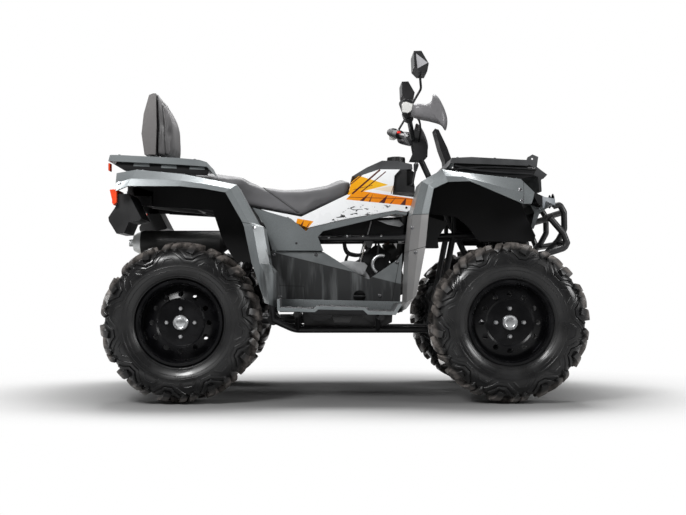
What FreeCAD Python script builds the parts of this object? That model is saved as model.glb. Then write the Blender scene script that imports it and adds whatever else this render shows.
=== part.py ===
import FreeCAD, Part
import math
import os

import Sketcher
from FreeCAD import Matrix, Placement, Rotation, Vector

# A quad bike in millimetres. X points forward, Y to the rider's left and Z up. The origin is
# on the ground, midway between the axles. Every size below is a cell of the sheet.
SIZES = (
    # the machine as a whole: the outlines are shares of these three
    ("wheelbase", 1295.0),
    ("overall_width", 1100.0),
    ("body_height", 600.0),
    # tyres and rims
    ("tyre_radius", 317.5),
    ("front_tyre_width", 203.0),
    ("rear_tyre_width", 254.0),
    ("lug_depth", 20.0),
    ("lug_length", 52.0),
    ("lug_count", 16.0),
    ("tyre_wall", 9.0),
    ("rim_radius", 168.0),
    ("rim_width_loss", 52.0),
    ("rim_hole_circle", 112.0),
    ("rim_hole_radius", 10.5),
    ("rim_hole_count", 12.0),
    ("stud_circle", 55.0),
    ("stud_radius", 5.0),
    ("stud_length", 22.0),
    # hubs, knuckles and their fits
    ("fit_clearance", 0.05),
    ("seat_gap", 0.3),
    ("overrun", 5.0),
    ("hub_radius", 36.0),
    ("hub_flange_radius", 72.0),
    ("hub_flange_thickness", 8.0),
    ("hub_cap_radius", 29.0),
    ("hub_cap_length", 20.0),
    ("spindle_radius", 15.0),
    ("spindle_root_radius", 25.0),
    ("disc_radius", 92.0),
    ("disc_thickness", 4.0),
    ("kingpin_offset", 62.0),
    ("kingpin_radius", 11.0),
    ("arm_rise", 85.0),
    ("upright_radius", 21.0),
    ("ball_eye_radius", 22.0),
    ("ball_eye_height", 24.0),
    ("steering_arm_length", 64.0),
    ("steering_arm_thickness", 12.0),
    ("rod_pin_radius", 6.0),
    ("rod_eye_clearance", 6.0),
    ("rod_eye_height", 16.0),
    ("rod_radius", 7.5),
    # wishbones and shock absorbers
    ("arm_tube_radius", 11.0),
    ("arm_foot_spread", 105.0),
    ("arm_sleeve_radius", 15.0),
    ("arm_sleeve_length", 46.0),
    ("shock_radius", 21.0),
    ("shock_rod_radius", 7.0),
    ("shock_eye_radius", 15.0),
    ("spring_radius", 31.0),
    ("spring_wire_radius", 5.0),
    ("spring_turns", 7.0),
    # rear axle and swingarm
    ("axle_radius", 17.5),
    ("axle_housing_radius", 38.0),
    ("axle_housing_width", 150.0),
    ("swingarm_tube_radius", 19.0),
    ("swingarm_pivot_width", 210.0),
    ("drive_housing_radius", 62.0),
    ("drive_housing_width", 84.0),
    ("drive_tube_radius", 24.0),
    # frame
    ("frame_tube_radius", 14.0),
    ("cross_tube_radius", 12.0),
    ("brace_tube_radius", 11.0),
    ("upright_tube_radius", 13.0),
    ("frame_half_width", 140.0),
    ("column_radius", 13.0),
    ("column_rake", 25.0),
    ("column_sleeve_wall", 7.0),
    ("column_sleeve_length", 44.0),
    ("column_hole_gap", 12.0),
    # tubes and bars
    ("bumper_tube_radius", 13.0),
    ("bar_radius", 11.0),
    ("grip_radius", 17.0),
    ("grip_length", 118.0),
    ("bar_half_width", 400.0),
    ("mirror_stem_radius", 5.0),
    ("guard_reach", 153.0),
    ("guard_height", 123.0),
    ("post_radius", 11.0),
    # mouldings
    ("panel_wall", 4.0),
    ("seat_width", 300.0),
)

doc = FreeCAD.newDocument("QuadBike")
sheet = doc.addObject("Spreadsheet::Sheet", "Sizes")
for row, (alias, value) in enumerate(SIZES, start=1):
    sheet.set(f"A{row}", alias)
    sheet.set(f"B{row}", str(value))
    sheet.setAlias(f"B{row}", alias)
doc.recompute()


class Length:
    """A size that knows its value and the formula that ties it to the sheet."""

    def __init__(self, value, text):
        self.value = value
        self.text = text

    def __float__(self):
        return self.value

    def __add__(self, other):
        return Length(self.value + other.value, f"({self.text} + {other.text})")

    def __sub__(self, other):
        return Length(self.value - other.value, f"({self.text} - {other.text})")

    def __mul__(self, factor):
        return Length(self.value * factor, f"({self.text} * {factor})")

    __rmul__ = __mul__

    def __truediv__(self, factor):
        return Length(self.value / factor, f"({self.text} / {factor})")

    def __neg__(self):
        return Length(-self.value, f"(-1 * {self.text})")


def size(alias):
    return Length(float(sheet.get(alias)), f"Sizes.{alias}")


def count(alias):
    return int(round(float(sheet.get(alias))))


ZERO = Length(0.0, "0")
Z_AXIS = Vector(0, 0, 1)
Y_AXIS = Vector(0, 1, 0)
X_AXIS = Vector(1, 0, 0)
AXLE_Z = size("tyre_radius")
HALF_BASE = size("wheelbase") / 2
HALF_WIDTH = size("overall_width") / 2


def along(share):
    """A place along the machine, as a share of the wheelbase."""
    return size("wheelbase") * share


def out(share):
    """A distance out from the middle, as a share of half the width."""
    return HALF_WIDTH * share


def up(share):
    """A height, from the axles up, as a share of the body's height."""
    return AXLE_Z + size("body_height") * share


def spot(x_share, y_share, z_share):
    return Vector(float(along(x_share)), float(out(y_share)), float(up(z_share)))


nodes = {}


def keep(label, item):
    """Give a finished sub-part its plain name."""
    item.Label = label
    nodes[label] = item
    return item


def bind(item, name, length):
    item.setExpression(name, length.text)


# sketches and features

def new_body(name):
    body = doc.addObject("PartDesign::Body", name)
    body.Label = name
    return body


def origin_plane(body, role):
    return next(item for item in body.Origin.OriginFeatures if item.Role == role)


def new_sketch(body, role, offset=None):
    sketch = body.newObject("Sketcher::SketchObject", body.Name + "_sketch")
    sketch.AttachmentSupport = (origin_plane(body, role), "")
    sketch.MapMode = "FlatFace"
    if offset is not None:
        bind(sketch, ".AttachmentOffset.Base.z", offset)
    return sketch


def pin_point(sketch, edge, end, x, y):
    """Tie one point of a sketch to two lengths measured from its origin."""
    for kind, axis, length in (("DistanceX", -2, x), ("DistanceY", -1, y)):
        if float(length) == 0:
            sketch.addConstraint(Sketcher.Constraint("PointOnObject", edge, end, axis))
            continue
        rule = Sketcher.Constraint(kind, -1, 1, edge, end, float(length))
        index = sketch.addConstraint(rule)
        bind(sketch, f"Constraints[{index}]", length)


def draw_outline(sketch, points):
    first = sketch.GeometryCount
    total = len(points)
    lines = []
    for index, (x, y) in enumerate(points):
        next_x, next_y = points[(index + 1) % total]
        start = Vector(float(x), float(y), 0)
        end = Vector(float(next_x), float(next_y), 0)
        lines.append(Part.LineSegment(start, end))
    sketch.addGeometry(lines, False)
    joins = []
    for index in range(total):
        following = first + (index + 1) % total
        joins.append(Sketcher.Constraint("Coincident", first + index, 2, following, 1))
    sketch.addConstraint(joins)
    for index, (x, y) in enumerate(points):
        pin_point(sketch, first + index, 1, x, y)


def draw_circle(sketch, x, y, radius):
    centre = Vector(float(x), float(y), 0)
    edge = sketch.addGeometry(Part.Circle(centre, Z_AXIS, float(radius)), False)
    pin_point(sketch, edge, 3, x, y)
    index = sketch.addConstraint(Sketcher.Constraint("Radius", edge, float(radius)))
    bind(sketch, f"Constraints[{index}]", radius)


def pad(body, sketch, length, midplane=False, back=False):
    feature = body.newObject("PartDesign::Pad", body.Name + "_pad")
    feature.Profile = sketch
    bind(feature, "Length", length)
    feature.Midplane = midplane
    feature.Reversed = back
    body.Tip = feature
    return feature


def cut_into(body, sketch, length, midplane=False, back=False):
    """A pocket that has to take something away."""
    doc.recompute()
    before = body.Shape.Volume
    feature = body.newObject("PartDesign::Pocket", body.Name + "_pocket")
    feature.Profile = sketch
    bind(feature, "Length", length)
    feature.Midplane = midplane
    feature.Reversed = back
    body.Tip = feature
    doc.recompute()
    if body.Shape.Volume >= before:
        raise ValueError(f"{body.Name}: a pocket cuts nothing")
    return feature


def revolve(body, sketch):
    feature = body.newObject("PartDesign::Revolution", body.Name + "_turn")
    feature.Profile = sketch
    feature.ReferenceAxis = (sketch, ["V_Axis"])
    feature.Angle = 360
    body.Tip = feature
    return feature


def groove(body, sketch):
    doc.recompute()
    before = body.Shape.Volume
    feature = body.newObject("PartDesign::Groove", body.Name + "_groove")
    feature.Profile = sketch
    feature.ReferenceAxis = (sketch, ["V_Axis"])
    feature.Angle = 360
    body.Tip = feature
    doc.recompute()
    if body.Shape.Volume >= before:
        raise ValueError(f"{body.Name}: a groove cuts nothing")
    return feature


def ring_of(body, feature, number):
    pattern = body.newObject("PartDesign::PolarPattern", body.Name + "_ring")
    pattern.Originals = [feature]
    axis = next(item for item in body.Origin.OriginFeatures if item.Role == "Y_Axis")
    pattern.Axis = (axis, [""])
    pattern.Angle = 360
    pattern.Occurrences = number
    body.Tip = pattern
    return pattern


def move(item, x, y, z):
    bind(item, ".Placement.Base.x", x)
    bind(item, ".Placement.Base.y", y)
    bind(item, ".Placement.Base.z", z)
    return item


def outline_points(shares):
    return [(along(x), up(z)) for x, z in shares]


def side_panel(name, shares, inner, thickness):
    """A plate in the machine's side view, on the right, from inner outwards."""
    body = new_body(name)
    sketch = new_sketch(body, "XZ_Plane", inner)
    draw_outline(sketch, outline_points(shares))
    pad(body, sketch, thickness)
    return body


def middle_piece(name, shares, width):
    """A form drawn in the side view that reaches as far to both sides."""
    body = new_body(name)
    sketch = new_sketch(body, "XZ_Plane")
    draw_outline(sketch, outline_points(shares))
    pad(body, sketch, width, midplane=True)
    return body


def mirrored(name, source):
    item = doc.addObject("Part::Mirroring", name)
    item.Source = source
    item.Normal = Y_AXIS
    return item


def both_sides(label, right):
    pair = doc.addObject("Part::Compound", label)
    pair.Links = [right, mirrored(label + "_other", right)]
    return keep(label, pair)


def fuse(label, items):
    whole = doc.addObject("Part::MultiFuse", label)
    whole.Shapes = items
    whole.Refine = True
    return whole


def cut(label, base, tool):
    result = doc.addObject("Part::Cut", label)
    result.Base = base
    result.Tool = tool
    return result


def common(label, first, second):
    result = doc.addObject("Part::Common", label)
    result.Base = first
    result.Tool = second
    return result


def box(name, x, y, z, length, width, height):
    item = doc.addObject("Part::Box", name)
    bind(item, "Length", length)
    bind(item, "Width", width)
    bind(item, "Height", height)
    return move(item, x, y, z)


def cylinder(name, radius, height, x, y, z, direction=Z_AXIS):
    item = doc.addObject("Part::Cylinder", name)
    bind(item, "Radius", radius)
    bind(item, "Height", height)
    item.Placement = Placement(Vector(), Rotation(Z_AXIS, direction))
    return move(item, x, y, z)


# shapes that follow a path in space

def bent_wire(points, bend):
    """Straight runs joined by tangent arcs."""
    edges = []
    start = points[0]
    for before, corner, after in zip(points, points[1:], points[2:]):
        into = (corner - before).normalize()
        away = (after - corner).normalize()
        turn = into.getAngle(away)
        if turn < math.radians(1):
            continue
        room = min((corner - before).Length, (after - corner).Length) * 0.45
        reach = min(bend * math.tan(turn / 2), room)
        first = corner - into * reach
        last = corner + away * reach
        radius = reach / math.tan(turn / 2)
        middle = (first + last) / 2
        sag = (corner - middle).normalize()
        gap = radius / math.cos(turn / 2) - radius
        edges.append(Part.LineSegment(start, first).toShape())
        edges.append(Part.Arc(first, corner - sag * gap, last).toShape())
        start = last
    edges.append(Part.LineSegment(start, points[-1]).toShape())
    return Part.Wire(edges)


def round_bar(points, radius, bend=0.0):
    if len(points) == 2:
        run = points[1] - points[0]
        return Part.makeCylinder(radius, run.Length, points[0], run)
    wire = bent_wire(points, bend)
    heading = points[1] - points[0]
    profile = Part.Wire(Part.makeCircle(radius, points[0], heading))
    return wire.makePipeShell([profile], True, False)


def joined(shapes):
    whole = shapes[0].multiFuse(shapes[1:])
    return whole.removeSplitter()


def feature_of(label, shape):
    item = doc.addObject("Part::Feature", label)
    item.Shape = shape
    return item


def value(alias):
    return float(size(alias))


def wheel_centre_y(width_alias):
    return HALF_WIDTH - size(width_alias) / 2


FRONT_Y = wheel_centre_y("front_tyre_width")
REAR_Y = wheel_centre_y("rear_tyre_width")

# tyre section: (share of the tyre's radius, share of half its width), from bead to crown
TREAD_SHARES = (
    (0.535, 0.80), (0.60, 0.93), (0.70, 1.00), (0.80, 0.985), (0.90, 0.90), (0.965, 0.72),
    (1.0, 0.40), (1.0, 0.0),
)
LUG_TIP_SHARES = ((0.72, 0.90), (0.0, 0.55))


def tyre(name, width_alias, x_sign):
    """A tyre on the right: a hollow casing and a ring of arrow shaped lugs."""
    body = new_body(name)
    radius = size("tyre_radius")
    half = size(width_alias) / 2
    depth = size("lug_depth")
    wall = size("tyre_wall")
    bead = size("rim_radius")
    shoulder = radius - depth * 2.2
    crown = radius - depth
    casing = (
        (bead, half * 0.76), (bead + wall * 2, half * 0.88), (radius * 0.72, half - wall * 0.9),
        (shoulder, half * 0.86), (crown, half * 0.42),
    )
    inside = ((bead, half * 0.76 - wall), (radius * 0.72, half * 0.78), (crown - wall * 2, half * 0.36))
    profile = list(casing)
    profile += [(x, -y) for x, y in reversed(casing)]
    profile += [(x, -y) for x, y in inside]
    profile += [(x, y) for x, y in reversed(inside)]
    sketch = new_sketch(body, "XY_Plane")
    draw_outline(sketch, profile)
    revolve(body, sketch)
    lugs = new_sketch(body, "XY_Plane", radius * 0.72)
    length = size("lug_length")
    half_lug = length * 0.36
    sweep = length * 0.62
    reach = half * 1.1
    arrow = (
        (half_lug + sweep, ZERO), (half_lug - sweep * 0.7, reach), (-half_lug - sweep * 0.7, reach),
        (-half_lug + sweep, ZERO), (-half_lug - sweep * 0.7, -reach), (half_lug - sweep * 0.7, -reach),
    )
    draw_outline(lugs, [(x * x_sign, y) for x, y in arrow])
    raised = pad(body, lugs, radius * 0.36)
    ring_of(body, raised, count("lug_count"))
    trim = new_sketch(body, "XY_Plane")
    beyond = radius * 1.3
    edge = (
        (radius, -half * 0.45), (radius, half * 0.45), (radius - depth, half * 0.88),
        (radius * 0.82, half), (radius * 0.71, half), (radius * 0.69, half * 0.9),
        (radius * 0.5, half * 1.5), (beyond, half * 1.5), (beyond, -half * 1.5),
        (radius * 0.5, -half * 1.5), (radius * 0.69, -half * 0.9), (radius * 0.71, -half),
        (radius * 0.82, -half), (radius - depth, -half * 0.88),
    )
    draw_outline(trim, edge)
    groove(body, trim)
    return body


# rim section: (share of the rim's radius, share of half its width)
RIM_SHARES = (
    (1.0, 1.0), (1.0, 0.94), (0.93, 0.90), (0.905, 0.40), (0.87, 0.0), (0.905, -0.79),
    (0.93, -0.90), (1.0, -0.94), (1.0, -1.0), (0.90, -0.96), (0.875, -0.77), (0.84, 0.0),
    (0.868, 0.32), (0.56, 0.50), (0.52, 0.435), (0.18, 0.435), (0.18, 0.51), (0.535, 0.51),
    (0.58, 0.575), (0.882, 0.40), (0.895, 0.88), (0.94, 1.0),
)


def rim(name, width_alias):
    body = new_body(name)
    radius = size("rim_radius") - size("seat_gap")
    half = (size(width_alias) - size("rim_width_loss")) / 2
    sketch = new_sketch(body, "XY_Plane")
    draw_outline(sketch, [(radius * r, -(half * y)) for r, y in RIM_SHARES])
    revolve(body, sketch)
    for number, circle, hole in (
        (count("rim_hole_count"), size("rim_hole_circle"), size("rim_hole_radius")),
        (4, size("stud_circle"), size("stud_radius") + size("seat_gap")),
    ):
        drill = new_sketch(body, "XZ_Plane")
        draw_circle(drill, circle, ZERO, hole)
        one = cut_into(body, drill, half * 0.8, back=True)
        ring_of(body, one, number)
    return body


DISH_INNER_SHARE = 0.435
DISH_OUTER_SHARE = 0.51


def dish_inner(width_alias):
    """How far out from the wheel's middle the inner face of the rim's dish lies."""
    return (size(width_alias) - size("rim_width_loss")) / 2 * DISH_INNER_SHARE


def studs(width_alias):
    """Four studs and their nuts through the dish, on the right."""
    dish = float(dish_inner(width_alias))
    circle = value("stud_circle")
    shapes = []
    for index in range(4):
        angle = math.radians(90 * index)
        place = Vector(circle * math.cos(angle), -dish, circle * math.sin(angle))
        start = place + Vector(0, value("hub_flange_thickness") / 2, 0)
        length = value("stud_length") + value("hub_flange_thickness") / 2
        shapes.append(Part.makeCylinder(value("stud_radius"), length, start, -Y_AXIS))
    return shapes


def front_hub():
    """Hub, flange, studs, dust cap and brake disc of the right front wheel."""
    dish = float(dish_inner("front_tyre_width"))
    flange = value("hub_flange_thickness")
    inner = float(hub_inner_y())
    barrel = Part.makeCylinder(value("hub_radius"), dish - flange + inner, Vector(0, inner, 0), -Y_AXIS)
    plate = Part.makeCylinder(value("hub_flange_radius"), flange, Vector(0, -dish + flange, 0), -Y_AXIS)
    cap = Part.makeCylinder(value("hub_cap_radius"), value("hub_cap_length"), Vector(0, -dish, 0), -Y_AXIS)
    disc = Part.makeCylinder(value("disc_radius"), value("disc_thickness"), Vector(0, inner, 0), -Y_AXIS)
    whole = joined([barrel, plate, cap, disc] + studs("front_tyre_width"))
    bore = Part.makeCylinder(
        value("spindle_radius"), float(spindle_reach()) + value("overrun"),
        Vector(0, inner, 0), -Y_AXIS)
    return whole.cut(bore)


def hub_inner_y():
    """Where the hub ends towards the knuckle, in from the wheel's middle."""
    return size("kingpin_offset") - size("upright_radius") - size("hub_flange_thickness")


def spindle_reach():
    return hub_inner_y() + dish_inner("front_tyre_width") - size("hub_flange_thickness")


def front_knuckle():
    """The right knuckle: upright, kingpin, spindle and steering arm, about the wheel's middle."""
    king = Vector(0, value("kingpin_offset"), 0)
    rise = value("arm_rise")
    eye = value("ball_eye_height")
    gap = value("seat_gap")
    pin_half = rise + eye * 0.7
    pin_radius = value("kingpin_radius") - value("fit_clearance")
    pin = Part.makeCylinder(pin_radius, pin_half * 2, king - Z_AXIS * pin_half)
    upright_half = rise - eye / 2 - gap
    upright = Part.makeCylinder(value("upright_radius"), upright_half * 2, king - Z_AXIS * upright_half)
    inner = float(hub_inner_y())
    root = Part.makeCylinder(
        value("spindle_root_radius"), king.y - inner - gap, king, -Y_AXIS)
    spindle = Part.makeCylinder(
        value("spindle_radius") - value("fit_clearance"), king.y - inner + float(spindle_reach()),
        king, -Y_AXIS)
    arm = value("steering_arm_length")
    thick = value("steering_arm_thickness")
    level = -value("rod_eye_height") / 2 - thick - gap * 4
    half = value("rod_pin_radius") * 2
    plate = Part.makeBox(arm, half * 2, thick, king + Vector(-arm, -half, level))
    end = Part.makeCylinder(half, thick, king + Vector(-arm, 0, level))
    rod_pin = Part.makeCylinder(
        value("rod_pin_radius"), thick + value("rod_eye_height") * 1.6, king + Vector(-arm, 0, level))
    return joined([pin, upright, root, spindle, plate, end, rod_pin])


COLUMN_TOP_SHARES = (0.232, 1.310)
COLUMN_FOOT_SHARE = 0.054
rake = math.radians(value("column_rake"))
COLUMN_DIR = Vector(-math.sin(rake), 0, math.cos(rake))
COLUMN_BACK = Vector(-math.cos(rake), 0, -math.sin(rake))


def column_foot():
    """Where the column's axis meets the level of the steering arms."""
    top = spot(COLUMN_TOP_SHARES[0], 0, COLUMN_TOP_SHARES[1])
    drop = top.z - float(up(COLUMN_FOOT_SHARE))
    return top - COLUMN_DIR * (drop / math.cos(rake))


def pitman_pin():
    """Middle of the pin behind the column's foot that carries both tie rods."""
    return column_foot() + COLUMN_BACK * value("steering_arm_length")


def rod_inner(sign):
    """Middle of a tie rod's inner eye: the right one (sign -1) is above the plate."""
    lift = (value("steering_arm_thickness") + value("rod_eye_height")) / 2 + value("seat_gap") * 2
    return pitman_pin() - COLUMN_DIR * (sign * lift)


def rod_outer(sign):
    king_y = float(FRONT_Y) - value("kingpin_offset")
    return Vector(float(HALF_BASE) - value("steering_arm_length"), sign * king_y, pitman_pin().z)


def steering_column():
    foot = column_foot()
    top = spot(COLUMN_TOP_SHARES[0], 0, COLUMN_TOP_SHARES[1])
    radius = value("column_radius")
    short = value("bar_radius") + value("seat_gap")
    shaft = Part.makeCylinder(radius - value("fit_clearance"), (top - foot).Length - short, foot, COLUMN_DIR)
    arm = value("steering_arm_length")
    thick = value("steering_arm_thickness")
    eye = value("rod_eye_height")
    half = value("rod_pin_radius") * 3
    plate = Part.makeBox(arm + half * 2, half * 2, thick, Vector(-half, -half, -thick / 2))
    frame = Matrix(
        COLUMN_BACK.x, 0, COLUMN_DIR.x, foot.x,
        COLUMN_BACK.y, -1, COLUMN_DIR.y, foot.y,
        COLUMN_BACK.z, 0, COLUMN_DIR.z, foot.z,
        0, 0, 0, 1)
    plate.Placement = Placement(frame)
    clamp_half = value("bar_radius") * 1.7
    clamp = Part.makeBox(
        clamp_half * 2, clamp_half * 3, clamp_half * 2, Vector(-clamp_half, -clamp_half * 1.5, -clamp_half))
    frame.A14, frame.A24, frame.A34 = top.x, top.y, top.z
    clamp.Placement = Placement(frame)
    across = clamp_half * 2
    bore = Part.makeCylinder(value("bar_radius") + value("seat_gap"), across * 2, top - Y_AXIS * across, Y_AXIS)
    pin_half = thick / 2 + eye * 1.2
    pin = Part.makeCylinder(
        value("rod_pin_radius") - value("fit_clearance"), pin_half * 2, pitman_pin() - COLUMN_DIR * pin_half,
        COLUMN_DIR)
    return joined([shaft, plate, clamp.cut(bore), pin])


def tie_rod(sign):
    inner = rod_inner(sign)
    outer = rod_outer(sign)
    eye = value("rod_eye_height")
    pin = value("rod_pin_radius")
    wide = pin + value("rod_eye_clearance")
    ring = wide + pin
    small = Part.makeCylinder(pin * 2, eye, inner - COLUMN_DIR * (eye / 2), COLUMN_DIR)
    large = Part.makeCylinder(ring, eye, outer - Z_AXIS * (eye / 2))
    rod = Part.makeCylinder(value("rod_radius"), (outer - inner).Length, inner, outer - inner)
    whole = joined([small, large, rod])
    whole = whole.cut(Part.makeCylinder(pin, eye * 3, inner - COLUMN_DIR * (eye * 1.5), COLUMN_DIR))
    return whole.cut(Part.makeCylinder(wide, eye * 3, outer - Z_AXIS * (eye * 1.5)))


def arm_foot_y():
    return value("frame_half_width") + value("frame_tube_radius") + value("arm_sleeve_radius") + value("seat_gap")


def wishbone(level):
    """One right wishbone: two tubes, a sleeve at each foot and an eye at the knuckle."""
    x = float(HALF_BASE)
    z = float(AXLE_Z) + level
    king = Vector(x, -(float(FRONT_Y) - value("kingpin_offset")), z)
    eye = value("ball_eye_height")
    shapes = [Part.makeCylinder(value("ball_eye_radius"), eye, king - Z_AXIS * (eye / 2))]
    feet = []
    for side in (-1, 1):
        foot = Vector(x + side * value("arm_foot_spread"), -arm_foot_y(), z)
        feet.append(foot)
        shapes.append(round_bar([foot, king], value("arm_tube_radius")))
        length = value("arm_sleeve_length")
        shapes.append(Part.makeCylinder(value("arm_sleeve_radius"), length, foot - X_AXIS * (length / 2), X_AXIS))
    if level < 0:
        seat_y = float(shock_foot().y)
        share = (seat_y - king.y) / (feet[0].y - king.y)
        first = king + (feet[0] - king) * share
        last = king + (feet[1] - king) * share
        shapes.append(round_bar([first, last], value("arm_tube_radius")))
    whole = joined(shapes)
    return whole.cut(Part.makeCylinder(value("kingpin_radius"), eye * 2, king - Z_AXIS * eye))


SHOCK_FOOT_SHARE = 0.55
SHOCK_TOP_SHARE = 0.585


def shock_foot():
    """The right front shock absorber's lower eye, on the lower wishbone."""
    z = float(AXLE_Z) - value("arm_rise") + value("arm_tube_radius") + value("shock_eye_radius") + value("seat_gap")
    return Vector(float(HALF_BASE), -float(out(SHOCK_FOOT_SHARE)), z)


def shock_top():
    y = value("frame_half_width") + value("frame_tube_radius") + value("shock_eye_radius") + value("seat_gap")
    return Vector(float(HALF_BASE), -y, float(up(SHOCK_TOP_SHARE)))


def shock_absorber(foot, top, pin_axis):
    """Damper, rod, eyes and coil spring between two points."""
    run = top - foot
    length = run.Length
    way = Vector(run).normalize()
    eye = value("shock_eye_radius")
    spring = value("spring_radius")
    wire = value("spring_wire_radius")
    seat = wire * 1.6
    low = foot + way * (eye * 1.6)
    high = top - way * (eye * 1.6)
    span = (high - low).Length
    shapes = []
    for place in (foot, top):
        shapes.append(Part.makeCylinder(eye, eye * 1.6, place - pin_axis * (eye * 0.8), pin_axis))
    shapes.append(Part.makeCylinder(value("shock_rod_radius"), length, foot, way))
    shapes.append(Part.makeCylinder(value("shock_radius"), span * 0.55, high, -way))
    shapes.append(Part.makeCylinder(spring + wire, seat, low, way))
    shapes.append(Part.makeCylinder(spring + wire, seat, high, -way))
    coil_span = span - (seat + wire + value("seat_gap")) * 2
    coil = Part.makeHelix(coil_span / value("spring_turns"), coil_span, spring)
    corners = []
    for index in range(7):
        angle = math.radians(60 * index)
        corners.append(Vector(spring + wire * math.cos(angle), 0, wire * math.sin(angle)))
    profile = Part.makePolygon(corners)
    coil_solid = Part.Wire(coil.Edges).makePipeShell([profile], True, True)
    coil_solid.Placement = Placement(
        low + way * (seat + wire + value("seat_gap")), Rotation(Z_AXIS, way))
    return Part.makeCompound([joined(shapes), coil_solid])


COVER_SHARE = 0.34
SHIELD_SHARE = 0.36

# frame: lines of tube in the side view, as shares of the wheelbase and body height
LOWER_RAIL_SHARES = (
    (-0.232, 0.0), (-0.16, -0.07), (0.30, -0.07), (0.37, -0.142), (0.60, -0.142), (0.625, 0.02),
    (0.60, 0.55),
)
UPPER_RAIL_SHARES = (
    (0.60, 0.55), (0.46, 0.60), (0.20, 0.58), (-0.10, 0.575), (-0.26, 0.66), (-0.48, 0.80), (-0.66, 0.84),
)
REAR_POST_SHARES = ((-0.232, 0.0), (-0.25, 0.652))
MID_POST_SHARES = ((0.30, -0.07), (0.36, 0.59))
FRONT_UPPER_SHARES = ((0.33, 0.142), (0.615, 0.142))
BEND_SHARE = 0.08
CROSS_SHARES = (
    (-0.09, -0.07), (0.13, -0.07),
    (-0.232, 0.0), (-0.26, 0.66), (0.30, -0.07), (0.37, -0.142), (0.60, -0.142), (0.60, 0.55),
    (0.20, 0.58), (-0.48, 0.80), (-0.66, 0.84),
)
COLUMN_BEARING_SHARES = (0.142, 0.60)


def side_line(shares, y):
    return [Vector(float(along(x)), y, float(up(z))) for x, z in shares]


# posts on the upper rail: place, foot level and the underside that each one carries
POSTS_SHARES = (
    (0.362, 0.57, (0.312, 0.955), (0.50, 0.91)),
    (-0.56, 0.82, (-0.633, 0.965), (-0.495, 0.935)),
    (-0.40, 0.749, (-0.4947, 0.904), (-0.301, 0.809)),
    (-0.19, 0.62, (-0.301, 0.809), (-0.141, 0.736)),
)
# footboard outriggers: place and the underside that each one carries
OUTRIGGERS_SHARES = ((-0.15, 0.0735), (0.11, 0.0525))
TRIM_BOSS_SHARES = (-0.12, 0.575)
SHIELD_HOLE_SHARES = (0.050, 0.165, 0.020)
SHIELD_BOSS_SHARES = (-0.2375, 0.20)


def level_on(first, last, x_share):
    share = (x_share - first[0]) / (last[0] - first[0])
    return float(up(first[1] + (last[1] - first[1]) * share))


def frame_supports(side):
    """What one side of the frame holds the seat, mouldings and footboards with."""
    radius = value("frame_tube_radius")
    thin = radius * 0.7
    y = side * value("frame_half_width")
    gap = value("seat_gap")
    shapes = []
    for x_share, foot, first, last in POSTS_SHARES:
        edge_share = x_share + thin / value("wheelbase")
        top = level_on(first, last, edge_share) - gap
        start = Vector(float(along(x_share)), y, float(up(foot)))
        shapes.append(Part.makeCylinder(thin, top - start.z, start))
    arm = value("cross_tube_radius")
    for x_share, z_share in OUTRIGGERS_SHARES:
        x = float(along(x_share))
        level = float(up(z_share)) - arm - gap
        turn = y + side * float(out(0.14))
        line = [Vector(x, y, float(up(-0.07))), Vector(x, turn, level), Vector(x, side * float(out(0.86)), level)]
        shapes.append(round_bar(line, arm, float(along(0.03))))
    for (x_share, z_share), face in ((TRIM_BOSS_SHARES, trim_inner()), (SHIELD_BOSS_SHARES, out(SHIELD_SHARE))):
        start = Vector(float(along(x_share)), y, float(up(z_share)))
        shapes.append(Part.makeCylinder(thin, float(face) - gap - abs(y), start, Y_AXIS * side))
    return shapes


def trim_inner():
    """How far out the grey side trim's inner face lies."""
    return out(COVER_SHARE) + size("panel_wall") * 4 + size("seat_gap")


def frame_shape():
    radius = value("frame_tube_radius")
    cross = value("cross_tube_radius")
    half = value("frame_half_width")
    bend = float(along(BEND_SHARE))
    shapes = []
    for side in (-half, half):
        for line in (LOWER_RAIL_SHARES, UPPER_RAIL_SHARES):
            shapes.append(round_bar(side_line(line, side), radius, bend))
        for line in (REAR_POST_SHARES, MID_POST_SHARES):
            shapes.append(round_bar(side_line(line, side), value("upright_tube_radius"), bend))
        shapes.append(round_bar(side_line(FRONT_UPPER_SHARES, side), value("brace_tube_radius"), bend))
    for x, z in CROSS_SHARES:
        start = Vector(float(along(x)), -half, float(up(z)))
        end = Vector(start.x, half, start.z)
        shapes.append(round_bar([start, end], cross))
    sleeve = value("column_radius") + value("column_sleeve_wall")
    long = value("column_sleeve_length")
    bores = []
    for side in (-1, 1):
        shapes += frame_supports(side)
    for z_share in COLUMN_BEARING_SHARES:
        place = column_point(z_share)
        shapes.append(round_bar([place - Y_AXIS * half, place + Y_AXIS * half], cross))
        start = place - COLUMN_DIR * (long / 2)
        shapes.append(Part.makeCylinder(sleeve, long, start, COLUMN_DIR))
        bores.append(Part.makeCylinder(value("column_radius"), long * 3, place - COLUMN_DIR * (long * 1.5), COLUMN_DIR))
    whole = joined(shapes)
    for bore in bores:
        whole = whole.cut(bore)
    return whole


def column_point(z_share):
    top = spot(COLUMN_TOP_SHARES[0], 0, COLUMN_TOP_SHARES[1])
    drop = top.z - float(up(z_share))
    return top - COLUMN_DIR * (drop / math.cos(rake))


def swingarm_pivot():
    return spot(-0.232, 0, 0.0)


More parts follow.
